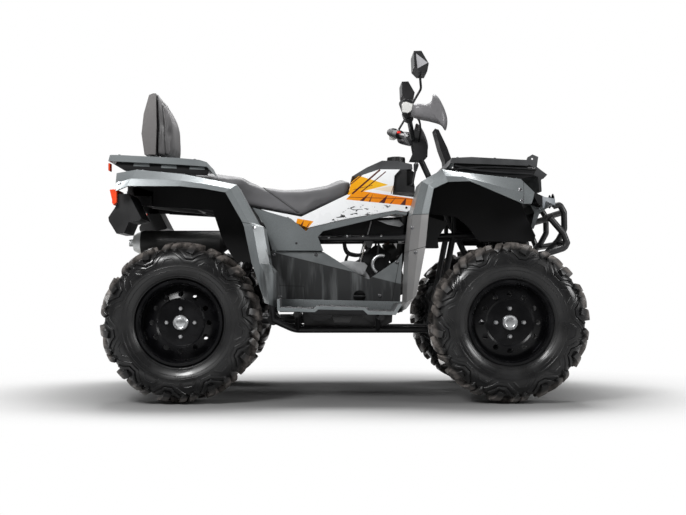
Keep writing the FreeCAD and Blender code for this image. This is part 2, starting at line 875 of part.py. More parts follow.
def swingarm_shape():
    pivot = swingarm_pivot()
    axle = Vector(-float(HALF_BASE), 0, float(AXLE_Z))
    tube = value("swingarm_tube_radius")
    width = value("swingarm_pivot_width")
    housing = value("axle_housing_width")
    radius = value("axle_housing_radius")
    shapes = [Part.makeCylinder(radius, housing, axle - Y_AXIS * (housing / 2), Y_AXIS)]
    shapes.append(Part.makeCylinder(tube * 1.3, width, pivot - Y_AXIS * (width / 2), Y_AXIS))
    drive = value("drive_housing_radius")
    wide = value("drive_housing_width")
    shapes.append(Part.makeCylinder(drive, wide, axle - Y_AXIS * (wide / 2), Y_AXIS))
    shaft = value("drive_tube_radius")
    shapes.append(Part.makeCone(drive * 0.7, shaft, drive, axle + X_AXIS * drive * 0.6, X_AXIS))
    shapes.append(Part.makeCylinder(shaft, (pivot - axle).Length, axle, X_AXIS))
    for side in (-1, 1):
        start = pivot + Y_AXIS * side * (width / 2 - tube)
        end = axle + Y_AXIS * side * (housing / 2 - tube)
        shapes.append(round_bar([start, end], tube))
    seat = rear_shock_foot()
    half = housing / 2 - tube
    cross = Vector(seat.x, 0, float(AXLE_Z))
    shapes.append(round_bar([cross - Y_AXIS * half, cross + Y_AXIS * half], tube))
    whole = joined(shapes)
    bore = Part.makeCylinder(value("axle_radius"), housing * 2, axle - Y_AXIS * housing, Y_AXIS)
    tube_bore = value("cross_tube_radius") + value("seat_gap")
    return whole.cut(bore).cut(Part.makeCylinder(tube_bore, width * 2, pivot - Y_AXIS * width, Y_AXIS))


def rear_shock_foot():
    z = float(AXLE_Z) + value("drive_tube_radius") + value("shock_eye_radius") + value("seat_gap")
    return Vector(float(along(-0.405)), 0, z)


def rear_shock_top():
    cross = spot(-0.26, 0, 0.66)
    down = value("cross_tube_radius") + value("shock_eye_radius") + value("seat_gap")
    return cross - Z_AXIS * down


def rear_axle():
    """Solid axle with both wheel flanges, studs, hub caps and the brake disc."""
    dish = float(dish_inner("rear_tyre_width"))
    face = float(REAR_Y) + dish
    radius = value("axle_radius") - value("fit_clearance")
    shapes = [Part.makeCylinder(radius, face * 2, Vector(0, -face, 0), Y_AXIS)]
    flange = value("hub_flange_thickness")
    outer = Vector(0, -face, 0)
    side = [Part.makeCylinder(value("hub_flange_radius"), flange, outer, Y_AXIS)]
    side.append(Part.makeCylinder(value("hub_radius"), dish + value("hub_radius") * 2, outer, Y_AXIS))
    side.append(Part.makeCylinder(value("hub_cap_radius"), value("hub_cap_length"), outer, -Y_AXIS))
    for stud in studs("rear_tyre_width"):
        side.append(stud.translated(Vector(0, -float(REAR_Y), 0)))
    shapes += side
    shapes += [item.mirror(Vector(), Y_AXIS) for item in side]
    inner = value("axle_housing_width") / 2 + value("hub_flange_thickness") * 2
    disc = Part.makeCylinder(value("disc_radius"), value("disc_thickness"), Vector(0, -inner, 0), -Y_AXIS)
    carrier = Part.makeCylinder(value("hub_radius"), value("hub_radius"), Vector(0, -inner, 0), -Y_AXIS)
    shapes += [disc, carrier, carrier.mirror(Vector(), Y_AXIS)]
    return joined(shapes)


BUMPER_SIDE_SHARES = ((0.60, 0.02), (0.640, 0.46), (0.698, 0.50), (0.706, 0.535), (0.694, 0.60), (0.652, 0.705))
BUMPER_LOOP_SHARES = ((0.632, 0.40), (0.70, 0.56), (0.72, 0.64), (0.719, 0.76), (0.705, 0.815), (0.684, 0.80))


def bumper_shape():
    radius = value("bumper_tube_radius")
    bend = float(along(0.02))
    shapes = []
    for side in (-1, 1):
        shapes.append(round_bar(side_line(BUMPER_SIDE_SHARES[1:], side * float(out(0.58))), radius, bend))
        shapes.append(round_bar(side_line(BUMPER_LOOP_SHARES, side * float(out(0.34))), radius, bend))
    for x, z in (BUMPER_SIDE_SHARES[1], BUMPER_SIDE_SHARES[3], BUMPER_SIDE_SHARES[5]):
        half = float(out(0.58))
        shapes.append(round_bar(side_line(((x, z),), -half) + side_line(((x, z),), half), radius))
    for x, z in (BUMPER_LOOP_SHARES[0], BUMPER_LOOP_SHARES[3]):
        half = float(out(0.34))
        shapes.append(round_bar(side_line(((x, z),), -half) + side_line(((x, z),), half), radius))
    for side in (-1, 1):
        y = side * value("frame_half_width")
        near = Vector(float(along(0.6085)), y, float(up(0.40)))
        near += X_AXIS * (value("frame_tube_radius") * 1.01 + value("seat_gap"))
        shapes.append(round_bar([near, Vector(float(along(0.632)), y, float(up(0.40)))], radius))
    return joined(shapes)


# corners of the bar: shares of the wheelbase, of half the bar's width and of the body's height
HANDLEBAR_SHARES = (
    (0.232, 0.0, 1.310), (0.232, 0.179, 1.310), (0.221, 0.344, 1.372), (0.212, 0.55, 1.392), (0.182, 1.0, 1.457),
)


def bar_spot(x_share, y_share, z_share):
    """A place on the right, measured out in shares of half the bar's width."""
    return Vector(float(along(x_share)), -value("bar_half_width") * y_share, float(up(z_share)))


def bar_points():
    """Half of the handlebar, from the middle out to the right hand end."""
    return [bar_spot(*place) for place in HANDLEBAR_SHARES]


def handlebar_shape():
    right = bar_points()
    left = [Vector(p.x, -p.y, p.z) for p in reversed(right)]
    bar = round_bar(left[:-1] + right[1:], value("bar_radius"), float(along(0.03)))
    return bar


def grip_shape():
    points = bar_points()
    way = (points[-1] - points[-2]).normalize()
    start = points[-1] - way * (value("grip_length") - value("bar_radius"))
    grip = Part.makeCylinder(value("grip_radius"), value("grip_length"), start, way)
    bore = Part.makeCylinder(
        value("bar_radius") + value("seat_gap"), value("grip_length") - value("bar_radius") / 2,
        start - way * value("overrun"), way)
    return grip.cut(bore)


def switch_place():
    """Inner end, direction and length of the right switch housing."""
    points = bar_points()
    way = (points[-1] - points[-2]).normalize()
    length = value("grip_length") * 0.42
    end = points[-1] - way * (value("grip_length") - value("bar_radius") + value("seat_gap"))
    return end - way * length, way, length


def switch_shape():
    """Switch housing and brake lever on the right."""
    start, way, length = switch_place()
    housing = Part.makeCylinder(value("grip_radius") * 1.25, length, start, way)
    reach = value("grip_radius") * 3
    lever_root = start + way * (length * 0.4) + X_AXIS * value("grip_radius")
    knee = lever_root + X_AXIS * (reach * 0.7) + way * (length * 0.4)
    tip = knee + way * (value("grip_length") * 0.9) + X_AXIS * (reach * 0.1)
    lever = round_bar([lever_root, knee, tip], value("bar_radius") * 0.5, reach * 0.3)
    whole = joined([housing, lever])
    bore = Part.makeCylinder(value("bar_radius") + value("seat_gap"), length * 2, start - way * (length / 2), way)
    return whole.cut(bore)


# the hand guard from the bar's end: shares of its reach ahead and of its height
GUARD_SHARES = (
    (0.127, -0.166), (0.186, 0.141), (0.482, 0.141), (0.626, 0.215), (0.795, 0.302), (0.922, 0.034),
    (0.999, -0.293), (0.956, -0.507), (0.855, -0.698), (0.829, -0.541), (0.567, -0.371), (0.178, -0.244),
)
GUARD_CENTRE_SHARES = (-0.308, 0.961, -1.010)
GUARD_RADIUS_SHARE = 1.298
GUARD_TIP_SHARES = (0.156, -0.222, -0.053)


def guard_spot(x_share, y_share, z_share):
    """A place near the right hand end of the bar, in the hand guard's own sizes."""
    reach = value("guard_reach")
    return bar_points()[-1] + Vector(reach * x_share, reach * y_share, value("guard_height") * z_share)


def hand_guard():
    """A curved shield ahead of the right hand, cut to its outline, and its stay to the bar's end."""
    wall = value("panel_wall")
    centre = guard_spot(*GUARD_CENTRE_SHARES)
    radius = value("guard_reach") * GUARD_RADIUS_SHARE
    height = value("guard_height") * 2
    ring = Part.makeCylinder(radius, height, centre).cut(Part.makeCylinder(radius - wall, height, centre))
    points = [guard_spot(x, GUARD_CENTRE_SHARES[1], z) for x, z in GUARD_SHARES]
    face = Part.Face(Part.makePolygon(points + points[:1]))
    shield = ring.common(face.extrude(Y_AXIS * -radius))
    points = bar_points()
    way = (points[-1] - points[-2]).normalize()
    thin = value("bar_radius") * 0.6
    foot = points[-1] + way * (value("bar_radius") + value("seat_gap"))
    stay = round_bar([foot, foot + way * thin * 2, guard_spot(*GUARD_TIP_SHARES)], thin, thin * 2)
    return joined([shield, stay])


MIRROR_ELBOW_SHARES = (0.245, 0.715, 1.60)
MIRROR_NECK_SHARES = (0.236, 0.825, 1.74)
MIRROR_SHARES = (
    (0.214, 1.819), (0.238, 1.821), (0.261, 1.735), (0.256, 1.681), (0.232, 1.681), (0.216, 1.716),
)
MIRROR_INNER_SHARE = 0.646
MIRROR_WIDTH_SHARE = 0.371


def mirror_shape():
    """Stem and head of the right mirror."""
    start, way, length = switch_place()
    base = start + way * (length * 0.35) + Z_AXIS * (value("grip_radius") * 1.42 + value("seat_gap"))
    line = [base, bar_spot(*MIRROR_ELBOW_SHARES), bar_spot(*MIRROR_NECK_SHARES)]
    stem = round_bar(line, value("mirror_stem_radius"), float(along(0.02)))
    outline = [bar_spot(x, MIRROR_INNER_SHARE, z) for x, z in MIRROR_SHARES]
    width = value("bar_half_width") * MIRROR_WIDTH_SHARE
    shell = Part.Face(Part.makePolygon(outline + outline[:1])).extrude(Y_AXIS * -width)
    return joined([stem, shell])


# sections across each flare, from its foot on: (place on the crest), (place on the wheel arch)
FRONT_FLARE_SHARES = (
    ((0.160, 0.062), (0.182, 0.092)), ((0.185, 0.131), (0.213, 0.180)), ((0.192, 0.469), (0.240, 0.490)),
    ((0.203, 0.706), (0.250, 0.706)), ((0.231, 0.927), (0.265, 0.873)), ((0.295, 1.006), (0.308, 0.917)),
    ((0.330, 0.992), (0.376, 0.922)), ((0.534, 0.943), (0.535, 0.775)), ((0.576, 0.854), (0.561, 0.776)),
)
REAR_FLARE_SHARES = (
    ((-0.693, 0.976), (-0.690, 0.853)), ((-0.633, 0.999), (-0.655, 0.886)), ((-0.493, 0.971), (-0.500, 0.886)),
    ((-0.400, 0.932), (-0.430, 0.872)), ((-0.330, 0.902), (-0.362, 0.846)), ((-0.265, 0.642), (-0.313, 0.662)),
    ((-0.249, 0.629), (-0.306, 0.625)), ((-0.230, 0.381), (-0.283, 0.390)), ((-0.212, 0.334), (-0.272, 0.325)),
    ((-0.212, 0.101), (-0.244, 0.131)),
)
# black mudguards between the wheels and the frame, and the intake box by the front leg
FRONT_LINER_SHARES = (
    (0.241, 0.746), (0.241, 0.917), (0.267, 0.958), (0.300, 0.991), (0.332, 0.979), (0.533, 0.929),
    (0.566, 0.856), (0.578, 0.754), (0.615, 0.588), (0.610, 0.547), (0.432, 0.547), (0.402, 0.637),
    (0.363, 0.713), (0.337, 0.724),
)
REAR_LINER_SHARES = (
    (-0.614, 0.787), (-0.615, 0.858), (-0.672, 0.861), (-0.678, 0.959), (-0.632, 0.983),
    (-0.493, 0.954), (-0.402, 0.916), (-0.335, 0.886), (-0.276, 0.637), (-0.259, 0.616),
    (-0.242, 0.404), (-0.347, 0.404), (-0.386, 0.537), (-0.402, 0.637), (-0.421, 0.762),
)
AIR_BOX_SHARES = (
    (0.259, 0.504), (0.259, 0.731), (0.335, 0.682), (0.302, 0.569), (0.305, 0.504),
)
CREST_SHARE = 0.905
BULGE_SHARES = (0.55, 0.955)
ARCH_SHARE = 0.975
FLANGE_SHARE = 0.945
LEG_SHIELD_SHARES = (
    (-0.250, 0.154), (-0.250, 0.481), (-0.066, 0.476), (-0.016, 0.407), (0.064, 0.296),
    (0.081, 0.287), (0.176, 0.426), (0.189, 0.471), (0.182, 0.124),
)
SIDE_TRIM_SHARES = (
    (-0.297, 0.787), (-0.172, 0.709), (-0.122, 0.619), (-0.115, 0.640), (0.010, 0.704), (0.169, 0.763),
    (0.205, 0.752), (0.202, 0.733), (0.169, 0.744), (-0.069, 0.621), (-0.085, 0.581), (-0.067, 0.485),
    (-0.232, 0.486), (-0.255, 0.657),
)
SIDE_COVER_SHARES = (
    (-0.270, 0.776), (-0.117, 0.646), (0.010, 0.710), (0.169, 0.769), (0.205, 0.758), (0.228, 0.787),
    (0.230, 0.861), (0.158, 0.879), (0.164, 1.012), (0.182, 1.056), (0.114, 1.056), (0.046, 1.006),
    (0.022, 0.963), (0.015, 0.884), (-0.139, 0.723),
)
TANK_COVER_SHARES = (
    (0.026, 1.009), (0.073, 1.071), (0.124, 1.121), (0.175, 1.119), (0.222, 1.096), (0.224, 1.062),
    (0.182, 1.057), (0.114, 1.057), (0.046, 1.007),
)
SEAT_SHARES = (
    (-0.4947, 1.046), (-0.436, 1.039), (-0.334, 1.008), (-0.310, 0.974), (-0.264, 0.934),
    (-0.195, 0.916), (-0.127, 0.924), (-0.057, 0.954), (-0.012, 0.999), (0.007, 1.012),
    (0.021, 0.994), (0.016, 0.944), (0.007, 0.896), (-0.141, 0.736), (-0.301, 0.809), (-0.4947, 0.904),
)
BACK_PAD_SHARES = ((-0.6127, 1.161), (-0.6097, 1.36), (-0.6127, 1.593), (-0.592, 1.601), (-0.575, 1.566),
            (-0.560, 1.514), (-0.547, 1.361), (-0.544, 1.256), (-0.545, 1.156))
BACK_SHELL_SHARES = ((-0.649, 1.161), (-0.659, 1.308), (-0.652, 1.449), (-0.635, 1.581), (-0.622, 1.593),
              (-0.613, 1.593), (-0.610, 1.36), (-0.613, 1.161))
FRONT_RACK_SHARES = ((0.320, 1.040), (0.329, 1.093), (0.390, 1.099), (0.560, 1.080), (0.566, 1.041), (0.324, 1.059))
FRONT_NOSE_SHARES = ((0.555, 1.042), (0.5605, 1.075), (0.5605, 1.101), (0.603, 1.068), (0.644, 1.002), (0.632, 0.975),
              (0.624, 0.970), (0.626, 0.886), (0.618, 0.886), (0.614, 0.985))
REAR_RACK_SHARES = (
    (-0.727, 1.066), (-0.722, 1.107), (-0.697, 1.107), (-0.509, 1.087), (-0.449, 1.076),
    (-0.426, 1.061), (-0.410, 0.993), (-0.425, 1.030), (-0.509, 1.043),
)
FRONT_HOOD_SHARES = (
    (0.236, 0.80), (0.29, 0.988), (0.312, 0.992), (0.508, 0.947), (0.576, 0.858), (0.622, 0.839),
    (0.656, 0.829), (0.656, 0.782), (0.629, 0.746), (0.610, 0.637), (0.600, 0.637), (0.612, 0.75),
    (0.60, 0.80), (0.50, 0.91), (0.312, 0.955), (0.255, 0.80),
)
REAR_DECK_SHARES = (
    (-0.693, 0.79), (-0.693, 0.974), (-0.633, 0.996), (-0.495, 0.968), (-0.495, 0.935), (-0.633, 0.965),
    (-0.675, 0.950), (-0.68, 0.79),
)
REAR_SKIRT_SHARES = (
    (-0.693, 0.845), (-0.693, 0.781), (-0.721, 0.689), (-0.719, 0.664), (-0.696, 0.583),
    (-0.673, 0.586), (-0.659, 0.659), (-0.629, 0.671), (-0.62, 0.68), (-0.66, 0.845),
)
FOOTBOARD_SHARES = (
    (-0.207, 0.154), (-0.206, 0.078), (-0.093, 0.069), (-0.083, 0.088), (0.056, 0.078), (0.063, 0.054),
    (0.151, 0.051), (0.171, 0.121), (0.160, 0.121), (0.146, 0.072), (0.07, 0.075), (0.06, 0.098),
    (-0.088, 0.108), (-0.098, 0.09), (-0.198, 0.098), (-0.199, 0.154),
)
HEADLIGHT_SHARES = ((0.582, 0.878), (0.623, 0.839), (0.655, 0.827), (0.656, 0.782), (0.626, 0.811),
             (0.621, 0.761), (0.600, 0.80))
TAIL_LIGHT_SHARES = ((-0.714, 0.868), (-0.702, 0.871), (-0.6933, 0.870), (-0.6933, 0.786), (-0.703, 0.768))
POD_SHARES = ((0.226, 1.367), (0.262, 1.367), (0.284, 1.249), (0.283, 1.176), (0.263, 1.150), (0.226, 1.155),
       (0.238, 1.213))
POD_INSIDE_SHARES = ((0.210, 1.358), (0.257, 1.358), (0.277, 1.245), (0.277, 1.13), (0.210, 1.13))
DASH_SHARES = ((0.165, 0.90), (0.165, 1.0565), (0.180, 1.0565), (0.222, 1.0615), (0.231, 1.045), (0.231, 0.90))

# the gear lever's foot, neck and tip, and where its recess starts along and out
LEVER_SHARES = ((0.222, -0.34, 0.945), (0.2325, -0.34, 1.050), (0.2355, -0.34, 1.090))
LEVER_RECESS_SHARES = (0.205, 0.28)
COWL_SHARES = (
    (0.3073, 1.379), (0.320, 1.371), (0.349, 1.241), (0.364, 1.150), (0.364, 1.0977), (0.342, 1.0963),
    (0.340, 1.150), (0.325, 1.237),
)
LUG_SHARES = ((0.578, 1.080), (0.587, 1.129), (0.603, 1.149), (0.6216, 1.132), (0.616, 1.045), (0.600, 1.060))

# the frame and what hangs from it
keep("frame", feature_of("frame", frame_shape()))
keep("swingarm", feature_of("swingarm", swingarm_shape()))
keep("front_bumper", feature_of("front_bumper", bumper_shape()))
both_sides("upper_wishbones", feature_of("upper_wishbone", wishbone(value("arm_rise"))))
both_sides("lower_wishbones", feature_of("lower_wishbone", wishbone(-value("arm_rise"))))
both_sides("front_shocks", feature_of("front_shock", shock_absorber(shock_foot(), shock_top(), X_AXIS)))
keep("rear_shock", feature_of("rear_shock", shock_absorber(rear_shock_foot(), rear_shock_top(), Y_AXIS)))

# the engine and its exhaust
engine_floor = up(-0.07) + size("cross_tube_radius") + size("seat_gap")
CRANK_SHARES = (
    (-0.14, 0.12), (-0.085, 0.28), (-0.02, 0.40), (0.05, 0.40), (0.09, 0.33), (0.165, 0.14), (0.16, -0.02),
)
CRANK_HALF_SHARE = 0.20
# round covers on both sides: place, radius and how far out each reaches
COVER_PLACES_SHARES = (
    (0.022, 0.27, 0.064, 0.245), (0.022, 0.27, 0.040, 0.262), (-0.075, 0.10, 0.052, 0.235), (0.10, 0.08, 0.045, 0.225),
)
BARREL_SHARES = ((0.045, 0.36), (0.172, 0.50))
FIN_COUNT = 8
FIN_SPAN_SHARES = (0.22, 0.74)


def engine_shape():
    """Crankcase with its covers, the finned cylinder that leans forward, and the drive's output housing."""
    outline = [(float(along(-0.13)), float(engine_floor))]
    outline += [(float(x), float(z)) for x, z in outline_points(CRANK_SHARES)]
    outline.append((float(along(0.13)), float(engine_floor)))
    half = float(out(CRANK_HALF_SHARE))
    points = [Vector(x, -half, z) for x, z in outline]
    case = Part.Face(Part.makePolygon(points + points[:1])).extrude(Y_AXIS * half * 2)
    shapes = [case]
    for side in (-1, 1):
        for x, z, radius, reach in COVER_PLACES_SHARES:
            start = spot(x, 0, z) + Y_AXIS * side * half * 0.9
            shapes.append(Part.makeCylinder(
                float(along(radius)), float(out(reach)) - half * 0.9, start, Y_AXIS * side))
    foot = spot(BARREL_SHARES[0][0], 0, BARREL_SHARES[0][1])
    top = spot(BARREL_SHARES[1][0], 0, BARREL_SHARES[1][1])
    run = top - foot
    way = (top - foot).normalize()
    bore = float(out(0.062))
    shapes.append(Part.makeCylinder(bore, run.Length, foot, way))
    low, high = FIN_SPAN_SHARES
    for index in range(FIN_COUNT):
        place = foot + run * (low + (high - low) * index / (FIN_COUNT - 1))
        shapes.append(Part.makeCylinder(bore * 1.45, bore * 0.11, place, way))
    head = foot + run * 0.8
    shapes.append(Part.makeCylinder(bore * 1.3, run.Length * 0.16, head, way))
    shapes.append(Part.makeCylinder(bore * 0.9, run.Length * 0.26, head, way))
    output = float(along(-0.13)) - swingarm_pivot().x - value("swingarm_tube_radius") * 1.3 - value("seat_gap")
    shapes.append(Part.makeCylinder(
        value("drive_tube_radius") * 0.85, output, Vector(float(along(-0.13)), 0, float(AXLE_Z)), -X_AXIS))
    return joined(shapes)


keep("engine", feature_of("engine", engine_shape()))


# the pipe's corners after the port; the last ones lie in line with the silencer
EXHAUST_LINE_SHARES = (
    (0.195, -0.12, 0.24), (0.19, -0.31, 0.20), (0.10, -0.32, 0.20), (-0.13, -0.32, 0.22),
    (-0.21, -0.32, 0.40), (-0.28, -0.33, 0.53), (-0.44, -0.34, 0.54),
)


def exhaust_port():
    """The port under the cylinder's head, a seat gap below it, and the way that the pipe leaves it."""
    foot = spot(BARREL_SHARES[0][0], 0, BARREL_SHARES[0][1])
    top = spot(BARREL_SHARES[1][0], 0, BARREL_SHARES[1][1])
    way = (top - foot).normalize()
    head = foot + (top - foot) * 0.88
    down = Vector(way.z, 0, -way.x)
    return head + down * (float(out(0.062)) * 1.3 + value("seat_gap")), down


def exhaust_shape():
    """Bent header pipe, silencer body and its domed tail."""
    port, way = exhaust_port()
    centre = [port, port + way * value("frame_tube_radius") * 2]
    centre += [spot(x, y, z) for x, y, z in EXHAUST_LINE_SHARES]
    pipe = round_bar(centre, float(along(0.014)), float(along(0.03)))
    start = spot(-0.40, -0.34, 0.54)
    can = Part.makeCylinder(float(along(0.040)), float(along(0.255)), start, -X_AXIS)
    cone = Part.makeCone(float(along(0.016)), float(along(0.040)), float(along(0.03)), start + X_AXIS * float(along(0.03)), -X_AXIS)
    dome_at = start - X_AXIS * float(along(0.255))
    dome = Part.makeCone(float(along(0.040)), float(along(0.026)), float(along(0.025)), dome_at, -X_AXIS)
    stub = Part.makeCylinder(float(along(0.012)), float(along(0.040)), dome_at, -X_AXIS)
    return joined([pipe, can, cone, dome, stub])


keep("exhaust", feature_of("exhaust", exhaust_shape()))

# mouldings
wall = size("panel_wall")
deck_half = out(0.46)


def flare_section(crest_shares, arch_shares):
    """One closed section across a right flare: out from the deck, over the crest, down to the wheel arch."""
    crest = Vector(float(along(crest_shares[0])), 0, float(up(crest_shares[1])))
    arch = Vector(float(along(arch_shares[0])), 0, float(up(arch_shares[1])))
    way = (arch - crest).normalize()
    depth = (arch - crest).Length
    thick = float(wall)
    middle = depth * BULGE_SHARES[0]
    deck = float(deck_half)
    crest_y, bulge_y, arch_y, flange_y = (
        float(out(share)) for share in (CREST_SHARE, BULGE_SHARES[1], ARCH_SHARE, FLANGE_SHARE))
    corners = (
        (0, deck), (0, crest_y), (middle, bulge_y), (depth, arch_y), (depth, flange_y),
        (depth - thick, flange_y), (depth - thick, arch_y - thick), (middle, bulge_y - thick * 1.5),
        (thick, crest_y - thick), (thick, deck),
    )
    points = [crest + way * across - Y_AXIS * y for across, y in corners]
    return Part.makePolygon(points + points[:1])


def flare(shares):
    """A right wheel arch as flat facets from section to section."""
    return Part.makeLoft([flare_section(crest, arch) for crest, arch in shares], True, True)


both_sides("front_flares", feature_of("front_flare", flare(FRONT_FLARE_SHARES)))
both_sides("rear_flares", feature_of("rear_flare", flare(REAR_FLARE_SHARES)))
both_sides("front_liners", side_panel("front_liner", FRONT_LINER_SHARES, deck_half, wall))
both_sides("rear_liners", side_panel("rear_liner", REAR_LINER_SHARES, deck_half, wall))
rail_side = size("frame_half_width") + size("frame_tube_radius") + size("seat_gap")
keep("air_box", side_panel("air_box_form", AIR_BOX_SHARES, rail_side, out(0.14)))

BONNET_SIDE_SHARES = (0.345, 0.30)
BONNET_LIFT_SHARE = 0.02


def bonnet(shares, top_count):
    """The hood: flat beside the flares, with a raised middle over its first top_count corners."""
    edge = float(deck_half - size("seat_gap"))
    sections = []
    for y, lift in ((-edge, 0), (-float(out(BONNET_SIDE_SHARES[0])), 0), (-float(out(BONNET_SIDE_SHARES[1])), 1),
                    (float(out(BONNET_SIDE_SHARES[1])), 1), (float(out(BONNET_SIDE_SHARES[0])), 0), (edge, 0)):
        points = []
        for index, (x, z) in enumerate(shares):
            rise = BONNET_LIFT_SHARE * lift if index < top_count else 0
            points.append(Vector(float(along(x)), y, float(up(z + rise))))
        sections.append(Part.makePolygon(points + points[:1]))
    return Part.makeLoft(sections, True, True)


hood = feature_of("front_hood_form", bonnet(FRONT_HOOD_SHARES, 8))


def column_passage():
    """The round hole that the steering column turns in."""
    radius = value("column_radius") + value("column_hole_gap")
    foot = column_foot()
    top = spot(COLUMN_TOP_SHARES[0], 0, COLUMN_TOP_SHARES[1])
    return Part.makeCylinder(radius, (top - foot).Length, foot, COLUMN_DIR)


keep("front_hood", cut("front_hood", hood, feature_of("column_passage", column_passage())))
keep("rear_deck", middle_piece("rear_deck_form", REAR_DECK_SHARES, (deck_half - size("seat_gap")) * 2))
both_sides("rear_skirts", side_panel("rear_skirt", REAR_SKIRT_SHARES, deck_half, out(0.40)))
leg_shield = side_panel("leg_shield", LEG_SHIELD_SHARES, out(SHIELD_SHARE), wall)
drain = new_sketch(leg_shield, "XZ_Plane", out(SHIELD_SHARE))
draw_circle(drain, along(SHIELD_HOLE_SHARES[0]), up(SHIELD_HOLE_SHARES[1]), along(SHIELD_HOLE_SHARES[2]))
cut_into(leg_shield, drain, wall, back=True)
both_sides("leg_shields", leg_shield)
both_sides("side_trims", side_panel("side_trim", SIDE_TRIM_SHARES, trim_inner(), wall * 3))
both_sides("side_covers", side_panel("side_cover", SIDE_COVER_SHARES, out(COVER_SHARE), wall * 4))
board_inner = out(SHIELD_SHARE) + wall + size("seat_gap")
both_sides("footboards", side_panel("footboard", FOOTBOARD_SHARES, board_inner, out(0.58)))
between_covers = (out(COVER_SHARE) - size("seat_gap")) * 2
keep("tank_cover", middle_piece("tank_cover_form", TANK_COVER_SHARES, between_covers))
keep("fuel_cap", cylinder("cap_form", along(0.030), along(0.026), along(0.180), ZERO, up(1.1208) + size("seat_gap")))
recess_x = along(LEVER_RECESS_SHARES[0])
recess_y = -out(LEVER_RECESS_SHARES[1])
recess = box(
    "lever_recess", recess_x, -(between_covers / 2 + size("overrun")), up(LEVER_SHARES[0][2]),
    along(DASH_SHARES[-1][0]) - recess_x + size("overrun"), recess_y + between_covers / 2 + size("overrun"),
    up(DASH_SHARES[3][1]) - up(LEVER_SHARES[0][2]) + size("overrun"))
keep("dash_box", cut("dash_whole", middle_piece("dash_form", DASH_SHARES, between_covers), recess))


def shift_lever():
    """The gear lever that stands in the dash box's recess: boss, rod and long knob."""
    foot, neck, tip = (spot(x, y, z) for x, y, z in LEVER_SHARES)
    foot = foot + Z_AXIS * value("seat_gap")
    radius = value("mirror_stem_radius")
    knob = radius * 2.2
    return joined([
        Part.makeCylinder(radius * 2, radius, foot, Z_AXIS),
        Part.makeCylinder(radius, (neck - foot).Length - radius, foot + (neck - foot).normalize() * radius, neck - foot),
        Part.makeCone(radius * 1.4, knob, (tip - neck).Length, neck, tip - neck),
        Part.makeSphere(knob, tip),
    ])


keep("shift_lever", feature_of("shift_lever", shift_lever()))
keep("front_cowl", middle_piece("front_cowl_form", COWL_SHARES, out(0.22)))
keep("seat", middle_piece("seat_form", SEAT_SHARES, size("seat_width")))
keep("backrest_pad", middle_piece("back_pad_form", BACK_PAD_SHARES, out(0.62)))


def backrest_shell():
    shell = middle_piece("back_shell_form", BACK_SHELL_SHARES, out(0.66))
    parts = [shell]
    for index, side in enumerate((-1, 1)):
        parts.append(cylinder(
            f"post_{index}", size("post_radius"), up(1.18) - up(0.996), along(-0.630), out(0.2 * side),
            up(0.996) + size("seat_gap")))
    return fuse("backrest_shell", parts)


keep("backrest_shell", backrest_shell())


def rack_legs(name, places):
    """Short legs under a rack: place, the level under each and the level of its deck."""
    legs = []
    for number, (x, y, low, high) in enumerate(places):
        for side in (-1, 1):
            legs.append(cylinder(
                f"{name}_leg_{number}_{side + 1}", size("post_radius"), up(high) - up(low) - size("seat_gap"),
                along(x), out(y * side), up(low) + size("seat_gap")))
    return legs


def slotted_rack(name, shares, width, slots):
    """A rack deck cut through by rows of slots that leave ribs between them."""
    deck = middle_piece(name + "_deck", shares, width)
    holes = new_sketch(deck, "XY_Plane")
    for x0, x1, y0, y1 in slots:
        for side in (-1, 1):
            corners = [(along(x0), out(y0 * side)), (along(x1), out(y0 * side)),
                       (along(x1), out(y1 * side)), (along(x0), out(y1 * side))]
            draw_outline(holes, corners)
    cut_into(deck, holes, up(1.3), back=True)
    return deck


REAR_LEGS_SHARES = ((-0.6575, 0.40, 0.9905, 1.065), (-0.5575, 0.40, 0.9830, 1.055))
FRONT_LEGS_SHARES = ((0.336, 0.40, 0.989, 1.06), (0.535, 0.40, 0.932, 1.05))
REAR_SLOTS_SHARES = tuple((-0.70 + 0.05 * k, -0.665 + 0.05 * k, 0.06, 0.70) for k in range(4))
FRONT_SLOTS_SHARES = tuple((0.345 + 0.05 * k, 0.378 + 0.05 * k, 0.06, 0.70) for k in range(4))
rear_deck_plate = slotted_rack("rear_rack", REAR_RACK_SHARES, out(1.60), REAR_SLOTS_SHARES)
seat_notch = new_sketch(rear_deck_plate, "XY_Plane")
notch_half = size("seat_width") / 2 + size("seat_gap")
draw_outline(seat_notch, [(along(-0.4955), -notch_half), (along(-0.38), -notch_half),
                          (along(-0.38), notch_half), (along(-0.4955), notch_half)])
cut_into(rear_deck_plate, seat_notch, up(1.3), back=True)
keep("rear_rack", fuse("rear_rack_whole", [rear_deck_plate] + rack_legs("rear", REAR_LEGS_SHARES)))
front_deck = slotted_rack("front_rack", FRONT_RACK_SHARES, out(1.60), FRONT_SLOTS_SHARES)
front_nose = middle_piece("front_nose", FRONT_NOSE_SHARES, out(1.16))
lug = side_panel("rack_lug", LUG_SHARES, out(0.50), wall)
eye = new_sketch(lug, "XZ_Plane", out(0.50))
draw_circle(eye, along(0.602), up(1.118), wall)
cut_into(lug, eye, wall, back=True)
front_parts = [front_deck, front_nose, lug, mirrored("rack_lug_other", lug)]
keep("front_rack", fuse("front_rack_whole", front_parts + rack_legs("front", FRONT_LEGS_SHARES)))
both_sides("headlights", side_panel("headlight", HEADLIGHT_SHARES, deck_half + size("seat_gap"), out(0.26)))
both_sides("tail_lights", side_panel("tail_light", TAIL_LIGHT_SHARES, out(0.62), out(0.28)))

